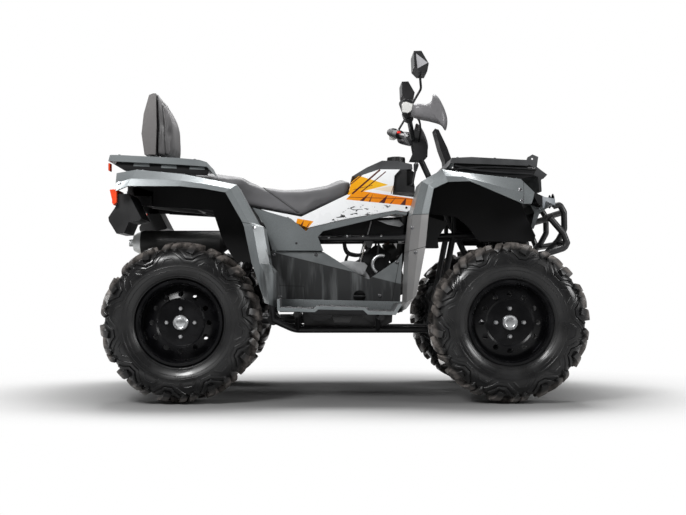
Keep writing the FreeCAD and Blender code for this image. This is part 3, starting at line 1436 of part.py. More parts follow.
# steering
keep("steering_column", feature_of("steering_column", steering_column()))
keep("handlebar", feature_of("handlebar", handlebar_shape()))
both_sides("grips", feature_of("grip", grip_shape()))
both_sides("controls", feature_of("control", switch_shape()))
both_sides("hand_guards", feature_of("hand_guard", hand_guard()))
both_sides("mirrors", feature_of("mirror", mirror_shape()))
pod_width = out(0.19)
pod_shell = cut("pod_shell", middle_piece("pod_form", POD_SHARES, pod_width),
                middle_piece("pod_inside", POD_INSIDE_SHARES, pod_width - wall * 2))
bar_hole = cylinder("bar_hole", size("bar_radius") + size("seat_gap"), pod_width * 2, along(HANDLEBAR_SHARES[0][0]),
                    -pod_width, up(HANDLEBAR_SHARES[0][2]), Y_AXIS)
keep("steering_pod", cut("steering_pod", pod_shell, bar_hole))

# wheels, knuckles and tie rods
front_place = (HALF_BASE, -FRONT_Y, AXLE_Z)
rear_place = (-HALF_BASE, -REAR_Y, AXLE_Z)


def right_and_left(name, right):
    keep(name + "_right", right)
    keep(name + "_left", mirrored(name + "_left", right))


right_and_left("front_tyre", move(tyre("front_tyre_form", "front_tyre_width", 1), *front_place))
right_and_left("front_rim", move(rim("front_rim_form", "front_tyre_width"), *front_place))
right_and_left("rear_tyre", move(tyre("rear_tyre_form", "rear_tyre_width", 1), *rear_place))
right_and_left("rear_rim", move(rim("rear_rim_form", "rear_tyre_width"), *rear_place))
right_and_left("front_hub", move(feature_of("front_hub_form", front_hub()), *front_place))
right_and_left("knuckle", move(feature_of("knuckle_form", front_knuckle()), *front_place))
keep("tie_rod_right", feature_of("tie_rod_right", tie_rod(-1)))
keep("tie_rod_left", feature_of("tie_rod_left", tie_rod(1)))
keep("rear_axle", move(feature_of("rear_axle_form", rear_axle()), -HALF_BASE, ZERO, AXLE_Z))

doc.recompute()
for item in doc.Objects:
    if "Invalid" in item.State or "Error" in item.State:
        raise ValueError(f"{item.Label} did not build: {item.State}")
os.makedirs("parts", exist_ok=True)
for label, item in nodes.items():
    shape = item.Shape
    if shape.isNull() or not shape.isValid() or not shape.Solids:
        raise ValueError(f"{label} is not a sound solid")
    shape.exportStep(f"parts/{label}.step")
    print(f"{label}: {len(shape.Solids)} solids, {shape.Volume / 1e6:.3f} litres")
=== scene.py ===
import math

import bmesh
import bpy
from mathutils import Matrix, Vector
from mathutils.bvhtree import BVHTree


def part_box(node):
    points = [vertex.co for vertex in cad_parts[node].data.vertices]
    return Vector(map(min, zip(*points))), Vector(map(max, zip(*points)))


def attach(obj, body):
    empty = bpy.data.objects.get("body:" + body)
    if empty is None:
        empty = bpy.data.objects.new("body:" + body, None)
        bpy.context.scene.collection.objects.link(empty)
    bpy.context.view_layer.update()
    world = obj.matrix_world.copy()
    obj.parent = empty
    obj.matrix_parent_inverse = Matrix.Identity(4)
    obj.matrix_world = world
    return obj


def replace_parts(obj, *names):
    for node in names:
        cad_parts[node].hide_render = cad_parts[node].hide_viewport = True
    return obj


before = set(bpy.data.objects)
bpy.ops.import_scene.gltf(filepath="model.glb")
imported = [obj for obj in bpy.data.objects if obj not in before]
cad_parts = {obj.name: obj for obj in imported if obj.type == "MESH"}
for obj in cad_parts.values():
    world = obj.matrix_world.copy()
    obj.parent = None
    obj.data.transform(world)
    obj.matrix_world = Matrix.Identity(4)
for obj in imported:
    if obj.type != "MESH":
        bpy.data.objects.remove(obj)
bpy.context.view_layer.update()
MM = 0.001
X_WAY = Vector((1, 0, 0))
Y_WAY = Vector((0, 1, 0))
Z_WAY = Vector((0, 0, 1))
SIDES = (("right", -1), ("left", 1))

# the wheels' places and sizes, in millimetres


def tyre_place(node):
    """Middle, radius and half width of a CAD tyre, to a tenth of a millimetre."""
    low, high = (Vector(corner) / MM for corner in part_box(node))
    size = high - low
    return [round(number, 1) for number in (*((low + high) / 2), size.z / 2, size.y / 2)]


FRONT_WHEEL_X, FRONT_WHEEL_Y, WHEEL_Z, TYRE_RADIUS, FRONT_TYRE_HALF = tyre_place("front_tyre_left")
REAR_WHEEL_X, REAR_WHEEL_Y, WHEEL_Z, TYRE_RADIUS, REAR_TYRE_HALF = tyre_place("rear_tyre_left")

# materials: each is one procedural node graph, its places and depths in millimetres; colours, roughness and
# shares are those of the shader's own sockets, and the rate of a lens's ribs is in radians per metre

COAT_ROUGHNESS = 0.12
JOINT_BLACK = (0.004, 0.004, 0.004)
JOINT_DEPTH = 0.8
RIB_RATE = 900.0


def shaded(color, share):
    """The same colour, lighter or darker."""
    return tuple(part * share for part in color)


class Graph:
    """One material and the few kinds of node that the materials here are built from."""

    def __init__(self, name, color, roughness, metallic=0.0, coat=0.0, gloss=0.5):
        self.material = bpy.data.materials.new(name)
        self.material.use_nodes = True
        tree = self.material.node_tree
        self.nodes = tree.nodes
        self.links = tree.links
        self.shader = tree.nodes["Principled BSDF"]
        values = (
            ("Base Color", (*color, 1)), ("Roughness", roughness), ("Metallic", metallic),
            ("Coat Weight", coat), ("Coat Roughness", COAT_ROUGHNESS), ("Specular IOR Level", gloss),
        )
        for socket, value in values:
            self.shader.inputs[socket].default_value = value
        self.place = self.nodes.new("ShaderNodeTexCoord").outputs["Object"]
        self.normal = None

    def wire(self, source, target):
        self.links.new(source, target)

    def noise(self, scale, detail, stretch=(1, 1, 1), distortion=0.0):
        place = self.nodes.new("ShaderNodeMapping")
        place.inputs["Scale"].default_value = stretch
        self.wire(self.place, place.inputs["Vector"])
        node = self.nodes.new("ShaderNodeTexNoise")
        node.inputs["Scale"].default_value = scale
        node.inputs["Detail"].default_value = detail
        node.inputs["Distortion"].default_value = distortion
        self.wire(place.outputs["Vector"], node.inputs["Vector"])
        return node.outputs["Fac"]

    def cells(self, scale):
        node = self.nodes.new("ShaderNodeTexVoronoi")
        node.inputs["Scale"].default_value = scale
        self.wire(self.place, node.inputs["Vector"])
        return node.outputs["Distance"]

    def math(self, kind, first, second=0.0):
        node = self.nodes.new("ShaderNodeMath")
        node.operation = kind
        for socket, item in zip(node.inputs, (first, second)):
            if isinstance(item, (int, float)):
                socket.default_value = item
            else:
                self.wire(item, socket)
        return node.outputs["Value"]

    def length(self, first, second):
        """The length of the line whose two legs are given."""
        squares = [self.math("MULTIPLY", leg, leg) for leg in (first, second)]
        return self.math("SQRT", self.math("ADD", *squares))

    def span(self, source, low, high, to_low=0.0, to_high=1.0):
        node = self.nodes.new("ShaderNodeMapRange")
        node.interpolation_type = "SMOOTHSTEP"
        for name, number in (("From Min", low), ("From Max", high), ("To Min", to_low), ("To Max", to_high)):
            node.inputs[name].default_value = number
        self.wire(source, node.inputs["Value"])
        return node.outputs["Result"]

    def mix(self, share, first, second):
        node = self.nodes.new("ShaderNodeMix")
        node.data_type = "RGBA"
        self.wire(share, node.inputs["Factor"])
        for name, item in (("A", first), ("B", second)):
            socket = [s for s in node.inputs if s.name == name and s.type == "RGBA"][0]
            if isinstance(item, tuple):
                socket.default_value = (*item, 1)
            else:
                self.wire(item, socket)
        return [s for s in node.outputs if s.type == "RGBA"][0]

    def mottle(self, source, low, high, first, second):
        """The first colour where the source is low, the second where it is high."""
        return self.mix(self.span(source, low, high), first, second)

    def axis(self, letter):
        node = self.nodes.new("ShaderNodeSeparateXYZ")
        self.wire(self.place, node.inputs["Vector"])
        return node.outputs[letter]

    def past(self, letter, low, high):
        """Rises from zero to one between two places on an axis."""
        return self.span(self.axis(letter), low * MM, high * MM)

    def past_sides(self, low, high):
        """Rises from zero to one between two distances from the machine's middle plane."""
        return self.span(self.math("ABSOLUTE", self.axis("Y")), low * MM, high * MM)

    def facing(self, centre):
        """One where a surface faces away from the centre, zero where it faces towards it."""
        way = self.nodes.new("ShaderNodeVectorMath")
        way.operation = "SUBTRACT"
        self.wire(self.place, way.inputs[0])
        way.inputs[1].default_value = shaded(centre, MM)
        normal = self.nodes.new("ShaderNodeNewGeometry").outputs["True Normal"]
        dot = self.nodes.new("ShaderNodeVectorMath")
        dot.operation = "DOT_PRODUCT"
        self.wire(way.outputs["Vector"], dot.inputs[0])
        self.wire(normal, dot.inputs[1])
        soft = 4.0 * MM
        return self.span(dot.outputs["Value"], -soft, soft)

    def beyond(self, first, second, soft=0.6):
        """One on the left of the line from first to second, seen from the right of the machine."""
        run = Vector((second[0] - first[0], second[1] - first[1])) * MM
        run.normalize()
        across = self.math("MULTIPLY", self.math("SUBTRACT", self.axis("Z"), first[1] * MM), run.x)
        down = self.math("MULTIPLY", self.math("SUBTRACT", self.axis("X"), first[0] * MM), run.y)
        return self.span(self.math("SUBTRACT", across, down), -soft * MM, soft * MM)

    def patch(self, corners, soft=0.6):
        """One inside a convex outline of X and Z, given anticlockwise."""
        inside = None
        for first, second in zip(corners, corners[1:] + corners[:1]):
            edge = self.beyond(first, second, soft)
            inside = edge if inside is None else self.math("MULTIPLY", inside, edge)
        return inside

    def line(self, first, second, half=0.9):
        """One on a straight line between two places of X and Z."""
        run = Vector((second[0] - first[0], second[1] - first[1]))
        run.normalize()
        side = Vector((-run.y, run.x)) * half
        a, b = Vector(first), Vector(second)
        return self.patch([tuple(a - side), tuple(b - side), tuple(b + side), tuple(a + side)], 0.3)

    def joints(self, seams):
        """One on each of several straight lines, or None where there is none."""
        found = None
        for first, second in seams:
            line = self.line(first, second)
            found = line if found is None else self.math("MAXIMUM", found, line)
        return found

    def color(self, source):
        self.wire(source, self.shader.inputs["Base Color"])

    def roughness(self, source, low, high):
        self.wire(self.span(source, 0.3, 0.7, low, high), self.shader.inputs["Roughness"])

    def metallic(self, source):
        self.wire(source, self.shader.inputs["Metallic"])

    def round_edges(self, radius):
        node = self.nodes.new("ShaderNodeBevel")
        node.samples = 4
        node.inputs["Radius"].default_value = radius * MM
        self.normal = node.outputs["Normal"]
        self.wire(self.normal, self.shader.inputs["Normal"])

    def bump(self, height, depth, strength):
        node = self.nodes.new("ShaderNodeBump")
        node.inputs["Strength"].default_value = strength
        node.inputs["Distance"].default_value = depth * MM
        self.wire(height, node.inputs["Height"])
        if self.normal is not None:
            self.wire(self.normal, node.inputs["Normal"])
        self.normal = node.outputs["Normal"]
        self.wire(self.normal, self.shader.inputs["Normal"])

    def sunken(self, joint):
        """Lets the joints lie below the surface."""
        self.bump(self.math("SUBTRACT", 1.0, joint), JOINT_DEPTH, 0.8)


def metallic_grey(name, color=(0.165, 0.180, 0.185), centre=None, seams=(), warm=None, dim=None, matt=0.36):
    """Grey plastic with metal flake under a thin coat.

    It is near-black where it faces the centre, partly bare inner plastic and partly painted shade; it has
    dark joints along its seams, is warmer below one height, and dims with faint runs around another.
    """
    metal = 0.45
    g = Graph(name, color, 0.36, metallic=metal, coat=0.25)
    flake = g.noise(900.0, 1.0)
    cloud = g.noise(6.0, 3.0)
    tone = g.mottle(flake, 0.35, 0.75, shaded(color, 0.82), shaded(color, 1.35))
    if warm is not None:
        share = g.math("MULTIPLY", g.past("Z", warm, warm - 3), g.span(cloud, 0.3, 0.7, 0.6, 1.0))
        tone = g.mix(share, tone, (color[0] * 1.55, color[1] * 1.36, color[2] * 1.30))
    if dim is not None:
        runs = g.noise(30.0, 3.0, (1.0, 1.0, 0.14))
        dark = g.mottle(runs, 0.42, 0.62, shaded(color, 0.30), shaded(color, 0.75))
        tone = g.mix(g.past("Z", dim + 90, dim - 60), tone, dark)
    # near-black toward the centre: partly bare inner plastic, partly painted shade
    if centre is not None:
        outer = g.facing(centre)
        tone = g.mix(outer, (0.002, 0.002, 0.0022), tone)
        g.metallic(g.math("MULTIPLY", outer, metal))
    joint = g.joints(seams)
    if joint is not None:
        tone = g.mix(joint, tone, (0.006, 0.006, 0.006))
    g.color(tone)
    g.roughness(cloud, matt, matt + 0.12)
    g.round_edges(1.6)
    g.bump(flake, 0.02, 0.4)
    if joint is not None:
        g.sunken(joint)
    return g.material


def grained(name, color, roughness=0.55, grain=700.0, depth=0.08, edge=1.2, gloss=0.5):
    """Moulded plastic with a fine leather-like grain."""
    g = Graph(name, color, roughness, gloss=gloss)
    cloud = g.noise(9.0, 4.0)
    g.color(g.mottle(cloud, 0.35, 0.7, color, shaded(color, 1.5)))
    g.roughness(cloud, roughness - 0.08, roughness + 0.08)
    g.round_edges(edge)
    g.bump(g.cells(grain), depth, 0.6)
    return g.material


def smooth_trim(name, color, roughness):
    """Small glossy trim with hardly any grain."""
    return grained(name, color, roughness, grain=900.0, depth=0.02, edge=0.6)


FACET_LINE = ((82, 508), (-313, 606))
SHIELD_SEAMS = (
    ((-313, 604), (82, 508)), ((-281, 463), (-168, 459)), ((-168, 459), (-164, 399)),
    ((232, 571), (202, 396)),
)


def shield_finish(name):
    """Leg shield: dark glossy plastic with faint upright runs, and a paler facet along its top."""
    dark = (0.022, 0.023, 0.024)
    g = Graph(name, dark, 0.34)
    cloud = g.noise(9.0, 4.0)
    runs = g.noise(26.0, 3.0, (1.0, 1.0, 0.12))
    streaked = g.mottle(runs, 0.48, 0.66, dark, (0.105, 0.110, 0.112))
    pale = g.mottle(cloud, 0.35, 0.7, (0.120, 0.130, 0.133), (0.165, 0.176, 0.180))
    joint = g.joints(SHIELD_SEAMS)
    g.color(g.mix(joint, g.mix(g.beyond(*FACET_LINE, 2.0), pale, streaked), JOINT_BLACK))
    g.roughness(cloud, 0.28, 0.42)
    g.round_edges(1.4)
    g.bump(g.cells(520.0), 0.06, 0.5)
    g.sunken(joint)
    return g.material


# top of the black belly, which is partly painted shade under the boards
BELLY_TOP = 420
BARREL_LINE = ((130, 470), (60, 572))


def cast_alloy(name, color, worn, roughness):
    """Sand-cast alloy with stains."""
    g = Graph(name, color, roughness, metallic=0.85)
    sand = g.noise(380.0, 5.0)
    stain = g.noise(18.0, 5.0, distortion=0.4)
    g.color(g.mottle(stain, 0.4, 0.75, color, worn))
    g.roughness(stain, roughness - 0.06, roughness + 0.16)
    g.round_edges(1.6)
    g.bump(sand, 0.16, 0.6)
    return g.material


def engine_finish(name):
    """Silver crankcase; the finned cylinder is painted black, and the belly under the boards is black as
    well, partly a dark underside and partly painted shade under the boards.
    """
    silver = (0.46, 0.47, 0.48)
    g = Graph(name, silver, 0.42)
    sand = g.noise(380.0, 5.0)
    stain = g.noise(18.0, 5.0, distortion=0.4)
    bare = g.mottle(stain, 0.4, 0.75, silver, (0.26, 0.26, 0.26))
    black = g.mottle(stain, 0.4, 0.75, (0.012, 0.012, 0.013), (0.030, 0.030, 0.030))
    barrel = g.beyond(*BARREL_LINE, 2.0)
    # black below the boards: partly a dark underside, partly painted shade
    belly = g.past("Z", BELLY_TOP, BELLY_TOP - 8)
    painted = g.math("MAXIMUM", belly, g.math("SUBTRACT", 1.0, barrel))
    g.color(g.mix(painted, bare, black))
    g.metallic(g.math("SUBTRACT", 0.85, g.math("MULTIPLY", painted, 0.8)))
    g.roughness(stain, 0.36, 0.58)
    g.round_edges(1.6)
    g.bump(sand, 0.16, 0.6)
    return g.material


def powder_coat(name, color=(0.010, 0.010, 0.011), roughness=0.36, coat=0.15, gloss=0.5):
    """Black powder-coated steel with its slight orange peel."""
    g = Graph(name, color, roughness, coat=coat, gloss=gloss)
    dust = g.noise(14.0, 5.0)
    g.color(g.mottle(dust, 0.45, 0.8, color, tuple(part * 2.0 + 0.002 for part in color)))
    g.roughness(dust, roughness - 0.06, roughness + 0.12)
    g.round_edges(1.0)
    g.bump(g.noise(420.0, 2.0), 0.05, 0.5)
    return g.material


def turned_steel(name, color):
    """Bright steel with fine turning marks and a trace of heat."""
    g = Graph(name, color, 0.3, metallic=1.0)
    marks = g.noise(160.0, 3.0, (1, 12, 12))
    heated = (color[0] * 0.72, color[1] * 0.66, color[2] * 0.58)
    g.color(g.mottle(g.noise(9.0, 3.0), 0.4, 0.75, color, heated))
    g.roughness(marks, 0.22, 0.42)
    g.round_edges(0.8)
    g.bump(marks, 0.03, 0.4)
    return g.material


CAN_END = -847.5


def silencer_finish(name):
    """Matt black heat-proof paint on the can, bare steel on its end cap and on the pipe's tail."""
    g = Graph(name, (0.02, 0.02, 0.021), 0.5)
    scale = g.noise(240.0, 4.0)
    stain = g.noise(12.0, 4.0, distortion=0.5)
    bare = g.past("X", CAN_END, CAN_END - 1)
    black = g.mottle(stain, 0.4, 0.7, (0.018, 0.018, 0.018), (0.034, 0.032, 0.030))
    steel = g.mottle(stain, 0.35, 0.75, (0.60, 0.62, 0.62), (0.42, 0.41, 0.38))
    g.color(g.mix(bare, black, steel))
    g.metallic(bare)
    g.roughness(scale, 0.38, 0.56)
    g.round_edges(1.0)
    g.bump(scale, 0.05, 0.5)
    return g.material


def hub_finish(name, face):
    """Black hub and flange; whatever stands out past the rim's dish is bright, and so is the axle."""
    g = Graph(name, (0.014, 0.014, 0.015), 0.32)
    wear = g.noise(130.0, 4.0)
    bright = g.past_sides(face, face + 0.6)
    silver = g.mottle(wear, 0.4, 0.7, (0.62, 0.62, 0.63), (0.40, 0.40, 0.40))
    black = g.mottle(wear, 0.45, 0.8, (0.004, 0.004, 0.0045), (0.014, 0.014, 0.014))
    g.color(g.mix(bright, black, silver))
    g.metallic(bright)
    g.roughness(wear, 0.24, 0.42)
    g.round_edges(0.8)
    g.bump(wear, 0.03, 0.4)
    return g.material


def grip_rubber(name):
    """Grip rubber: matt, with faint mould ripples and a trace of dust."""
    color = (0.0125, 0.0125, 0.013)
    g = Graph(name, color, 0.60, gloss=0.35)
    dirt = g.noise(11.0, 6.0)
    g.color(g.mottle(dirt, 0.42, 0.78, color, tuple(part + 0.0036 for part in color)))
    g.roughness(dirt, 0.48, 0.70)
    g.round_edges(1.2)
    g.bump(g.noise(260.0, 3.0), 0.12, 0.4)
    return g.material


WALL_TOP, GROOVE_FLOOR, BLOCK_TOP = 262, 284, 309


def tyre_rubber(name):
    """Tyre rubber: dressed and dark on the sidewall; greyer on the blocks, partly dust and partly a painted
    highlight.
    """
    g = Graph(name, (0.006, 0.006, 0.0065), 0.4)
    along = g.math("SUBTRACT", g.math("ABSOLUTE", g.axis("X")), FRONT_WHEEL_X * MM)
    radius = g.length(along, g.math("SUBTRACT", g.axis("Z"), WHEEL_Z * MM))
    dirt = g.noise(34.0, 5.0)
    wall = g.mottle(dirt, 0.45, 0.8, (0.0040, 0.0040, 0.0045), (0.010, 0.0098, 0.0098))
    # the blocks' tops are lighter all round: partly dust, partly painted highlight
    worn = g.mottle(dirt, 0.36, 0.66, (0.070, 0.064, 0.060), (0.190, 0.170, 0.157))
    block = g.mottle(radius, GROOVE_FLOOR * MM, BLOCK_TOP * MM, (0.014, 0.0138, 0.014), worn)
    g.color(g.mottle(radius, WALL_TOP * MM, GROOVE_FLOOR * MM, wall, block))
    g.roughness(g.noise(7.0, 2.0), 0.20, 0.46)
    g.round_edges(1.2)
    g.bump(g.noise(260.0, 3.0), 0.12, 0.4)
    return g.material


def vinyl(name, color, shine):
    """Seat cover: fine pebbled vinyl, softly shining."""
    g = Graph(name, color, shine)
    cloud = g.noise(5.0, 3.0)
    g.color(g.mottle(cloud, 0.35, 0.7, shaded(color, 0.8), shaded(color, 1.35)))
    g.roughness(cloud, shine, shine + 0.12)
    g.bump(g.cells(620.0), 0.05, 0.5)
    g.bump(g.noise(30.0, 3.0, distortion=0.6), 0.2, 0.25)
    return g.material


def lens(name, color, roughness=0.08, transmission=0.0):
    """Moulded lens with fine optic ribs."""
    g = Graph(name, color, roughness, coat=0.6)
    g.shader.inputs["Transmission Weight"].default_value = transmission
    bright = tuple(min(1.0, part * 1.25) for part in color)
    g.color(g.mottle(g.noise(25.0, 2.0), 0.35, 0.7, color, bright))
    g.round_edges(1.0)
    g.bump(g.math("SINE", g.math("MULTIPLY", g.axis("Z"), RIB_RATE)), 0.12, 0.5)
    return g.material


LENS_BACK = 797


def headlight_finish(name):
    """Clear pale lens at the nose, black housing behind it."""
    g = Graph(name, (0.62, 0.66, 0.70), 0.08, coat=0.5)
    tint = g.noise(25.0, 2.0)
    pale = g.mottle(tint, 0.35, 0.7, (0.24, 0.26, 0.28), (0.34, 0.36, 0.38))
    g.color(g.mix(g.past("X", LENS_BACK, LENS_BACK + 2), (0.010, 0.010, 0.011), pale))
    g.roughness(tint, 0.06, 0.16)
    g.round_edges(1.0)
    g.bump(g.math("SINE", g.math("MULTIPLY", g.axis("Z"), RIB_RATE)), 0.10, 0.4)
    return g.material


def zinc(name, color):
    """Plated bolts."""
    g = Graph(name, color, 0.28, metallic=1.0)
    blotch = g.noise(60.0, 4.0)
    g.color(g.mottle(blotch, 0.4, 0.7, color, shaded(color, 0.75)))
    g.roughness(blotch, 0.2, 0.4)
    g.bump(blotch, 0.03, 0.4)
    return g.material


DARK_RED = (0.085, 0.014, 0.010)
ORANGE_WEDGE = [(16, 842), (186, 886), (58, 926), (8, 916)]
ORANGE_BAND = [(8, 824), (302, 796), (306, 826), (46, 864)]
ORANGE_TAIL = [(-205, 712), (-150, 706), (-128, 732), (-196, 744)]
PALE_WEDGE = [(120, 868), (214, 852), (212, 884)]
DARK_LINES = (
    ((34, 848), (152, 950), 3.6), ((72, 856), (176, 942), 2.2), ((10, 874), (74, 926), 2.0),
    ((20, 834), (300, 826), 1.1), ((198, 848), (214, 900), 1.4), ((40, 866), (120, 884), 1.0),
)
SLASHES = (
    [(66, 819), (82, 817), (110, 854)], [(104, 815), (110, 814), (122, 851)],
    [(146, 811), (170, 808), (184, 843)], [(192, 806), (198, 806), (222, 839)],
    [(236, 802), (258, 800), (262, 833)], [(280, 798), (286, 798), (302, 826)],
    [(-186, 711), (-176, 710), (-168, 739)], [(-158, 708), (-153, 707), (-140, 733)],
)
SPLATTER_ZONE = [(-60, 718), (60, 742), (190, 792), (200, 800), (40, 800), (-60, 742)]


def printed_white(name):
    """White moulding with a printed design of its own: orange wedges, dark slashes and a black torn edge."""
    g = Graph(name, (0.78, 0.79, 0.80), 0.3, coat=0.3)
    cloud = g.noise(7.0, 3.0)
    tone = g.mottle(cloud, 0.3, 0.7, (0.90, 0.91, 0.92), (0.94, 0.95, 0.96))
    amber = g.mix(g.past("X", 20, 200), (0.86, 0.36, 0.0), (0.90, 0.52, 0.02))
    orange = g.mix(g.past("X", 0, 300), (0.86, 0.30, 0.0), (0.88, 0.20, 0.0))
    for corners, ink in ((ORANGE_WEDGE, amber), (ORANGE_BAND, orange), (ORANGE_TAIL, orange)):
        tone = g.mix(g.patch(corners), tone, ink)
    tone = g.mix(g.math("MULTIPLY", g.patch(PALE_WEDGE, 2.0), 0.8), tone, (0.86, 0.70, 0.52))
    for corners in SLASHES:
        tone = g.mix(g.patch(corners), tone, DARK_RED)
    ragged = g.span(g.noise(95.0, 5.0, (0.35, 1, 1), 0.9), 0.56, 0.58)
    tone = g.mix(g.math("MULTIPLY", ragged, g.patch(SPLATTER_ZONE, 4.0)), tone, (0.03, 0.03, 0.032))
    for line in DARK_LINES:
        tone = g.mix(g.line(*line), tone, DARK_RED)
    g.color(tone)
    g.roughness(cloud, 0.24, 0.34)
    g.round_edges(1.4)
    g.bump(g.noise(300.0, 2.0), 0.02, 0.4)
    return g.material


BOARD_EDGE = 506
BOARD_LIP = 338


def board_finish(name):
    """Footboard: dark grained plastic with a paler worn edge along its outside."""
    g = Graph(name, (0.05, 0.051, 0.053), 0.5)
    cloud = g.noise(14.0, 4.0)
    lip = g.math("MULTIPLY", g.past_sides(BOARD_EDGE, BOARD_EDGE + 8), g.past("Z", BOARD_LIP, BOARD_LIP + 5))
    dark = g.mottle(cloud, 0.35, 0.7, (0.045, 0.046, 0.048), (0.075, 0.076, 0.079))
    pale = g.mottle(cloud, 0.35, 0.7, (0.13, 0.145, 0.15), (0.17, 0.185, 0.19))
    g.color(g.mix(lip, dark, pale))
    g.roughness(cloud, 0.42, 0.58)
    g.round_edges(1.4)
    g.bump(g.cells(480.0), 0.12, 0.6)
    return g.material


def mirror_glass(name):
    """Silvered glass with a thin film of dirt."""
    clean = (0.85, 0.87, 0.88)
    g = Graph(name, clean, 0.03, metallic=1.0)
    film = g.noise(18.0, 2.0)
    g.color(g.mottle(film, 0.4, 0.7, clean, (0.78, 0.81, 0.83)))
    g.roughness(film, 0.02, 0.05)
    return g.material


FRONT_SEAMS = (((250, 741), (330, 742)), ((246, 597), (322, 618)), ((703, 879), (694, 772)))
REAR_SEAMS = (((-420, 712), (-316, 694)), ((-312, 606), (-280, 508)))
HOOD_CENTRE = (600.0, 0.0, 500.0)
ALLOY_SILVER = (0.52, 0.53, 0.54)

# the flares and the hood are near-black on faces toward their centre: partly bare inner plastic, partly
# painted shade
FRONT_GREY = metallic_grey("front_grey", centre=(FRONT_WHEEL_X, 0.0, WHEEL_Z), seams=FRONT_SEAMS, warm=742)
REAR_GREY = metallic_grey("rear_grey", centre=(REAR_WHEEL_X, 0.0, WHEEL_Z), seams=REAR_SEAMS, dim=560)
HOOD_GREY = metallic_grey("hood_grey", centre=HOOD_CENTRE)
GREY = metallic_grey("grey_moulding")
SHELL = metallic_grey("shell_moulding", (0.115, 0.109, 0.108))
TRIM_GREY = metallic_grey("trim_moulding", (0.180, 0.196, 0.201))
GUARD = metallic_grey("guard_moulding", (0.165, 0.162, 0.168), matt=0.52)
LINER = grained("black_liner", (0.0035, 0.0035, 0.004), 0.58, gloss=0.25)
BLACK = grained("black_moulding", (0.008, 0.008, 0.0085), 0.42, gloss=0.4)
GLOSS_BLACK = grained("gloss_black_moulding", (0.014, 0.014, 0.015), 0.26, depth=0.02)
DARK_GREY = grained("dark_grey_moulding", (0.040, 0.041, 0.043), 0.42)
PIPING = grained("seam_cord", (0.016, 0.016, 0.016), 0.5, grain=900.0, depth=0.05, edge=0.4)
THREAD = grained("thread", (0.020, 0.020, 0.021), 0.5, grain=900.0, depth=0.04, edge=0.3)
BRIGHT = smooth_trim("bright_trim", (0.62, 0.62, 0.60), 0.3)
PALE = smooth_trim("pale_trim", (0.26, 0.26, 0.27), 0.3)
BUTTON = smooth_trim("red_button", (0.65, 0.02, 0.012), 0.35)
SHIELD = shield_finish("shield_moulding")
BOARD = board_finish("board_moulding")
WHITE = printed_white("printed_moulding")
STEEL = powder_coat("black_steel")
RIM = powder_coat("rim_paint", (0.0025, 0.0025, 0.003), 0.20, 0.02, 0.2)
SHOCK = powder_coat("shock_paint", (0.02, 0.02, 0.021), 0.3)
ENGINE = engine_finish("engine_paint")
ALLOY = cast_alloy("engine_alloy", ALLOY_SILVER, shaded(ALLOY_SILVER, 0.62), 0.36)
EXHAUST = silencer_finish("silencer_paint")
AXLE = turned_steel("turned_steel", (0.45, 0.45, 0.46))
FRONT_HUB = hub_finish("front_hub_paint", 481.6)
REAR_HUB = hub_finish("rear_hub_paint", 467.3)
BOLT = zinc("bolt_zinc", (0.55, 0.56, 0.57))
DULL_BOLT = zinc("dull_bolt_zinc", (0.26, 0.26, 0.27))
RUBBER = grip_rubber("grip_rubber")
TYRE = tyre_rubber("tyre_rubber")
VINYL = vinyl("seat_vinyl", (0.072, 0.071, 0.075), 0.5)
# the backrest's vinyl is the seat's made lighter: painted light on the upright pad
LIT_PAD_VINYL = vinyl("pad_vinyl", (0.105, 0.102, 0.104), 0.46)
HEADLIGHT = headlight_finish("headlight_glass")
RED = lens("red_lens", (0.75, 0.06, 0.012))
EYE = lens("lamp_eye", (0.72, 0.76, 0.80), 0.03, 0.15)
SCREEN = lens("display_screen", (0.02, 0.024, 0.028), 0.06)
GLASS = mirror_glass("mirror_glass")

FINISHES = (
    (STEEL, "frame swingarm front_bumper upper_wishbones lower_wishbones"),
    (STEEL, "knuckle_right knuckle_left steering_column handlebar"),
    (AXLE, "tie_rod_right tie_rod_left"),
    (RIM, "front_rim_right front_rim_left rear_rim_right rear_rim_left"),
    (FRONT_HUB, "front_hub_right front_hub_left"),
    (REAR_HUB, "rear_axle"),
    (TYRE, "front_tyre_right front_tyre_left rear_tyre_right rear_tyre_left"),
    (EXHAUST, "exhaust"),
    (ENGINE, "engine"),
    (SHOCK, "front_shocks rear_shock"),
    (FRONT_GREY, "front_flares"),
    (REAR_GREY, "rear_flares"),
    (HOOD_GREY, "front_hood"),
    (TRIM_GREY, "side_trims"),
    (DARK_GREY, "front_rack tank_cover"),
    (GREY, "rear_rack"),
    (SHELL, "backrest_shell"),
    (GUARD, "hand_guards"),
    (BLACK, "rear_deck rear_skirts dash_box controls mirrors steering_pod fuel_cap shift_lever air_box"),
    (GLOSS_BLACK, "front_cowl"),
    (LINER, "front_liners rear_liners"),
    (SHIELD, "leg_shields"),
    (WHITE, "side_covers"),
    (BOARD, "footboards"),
    (VINYL, "seat"),
    (LIT_PAD_VINYL, "backrest_pad"),
    (RUBBER, "grips"),
    (HEADLIGHT, "headlights"),
    (RED, "tail_lights"),
)
for material, nodes in FINISHES:
    for node in nodes.split():
        for face_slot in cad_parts[node].material_slots:
            face_slot.material = material

# mesh tools, all in millimetres but for the meshes themselves


def sides_of(way):
    """Two directions square to the given one and to each other."""
    way = way.normalized()
    helper = Z_WAY if abs(way.z) < 0.9 else X_WAY
    first = way.cross(helper).normalized()
    return first, way.cross(first).normalized()


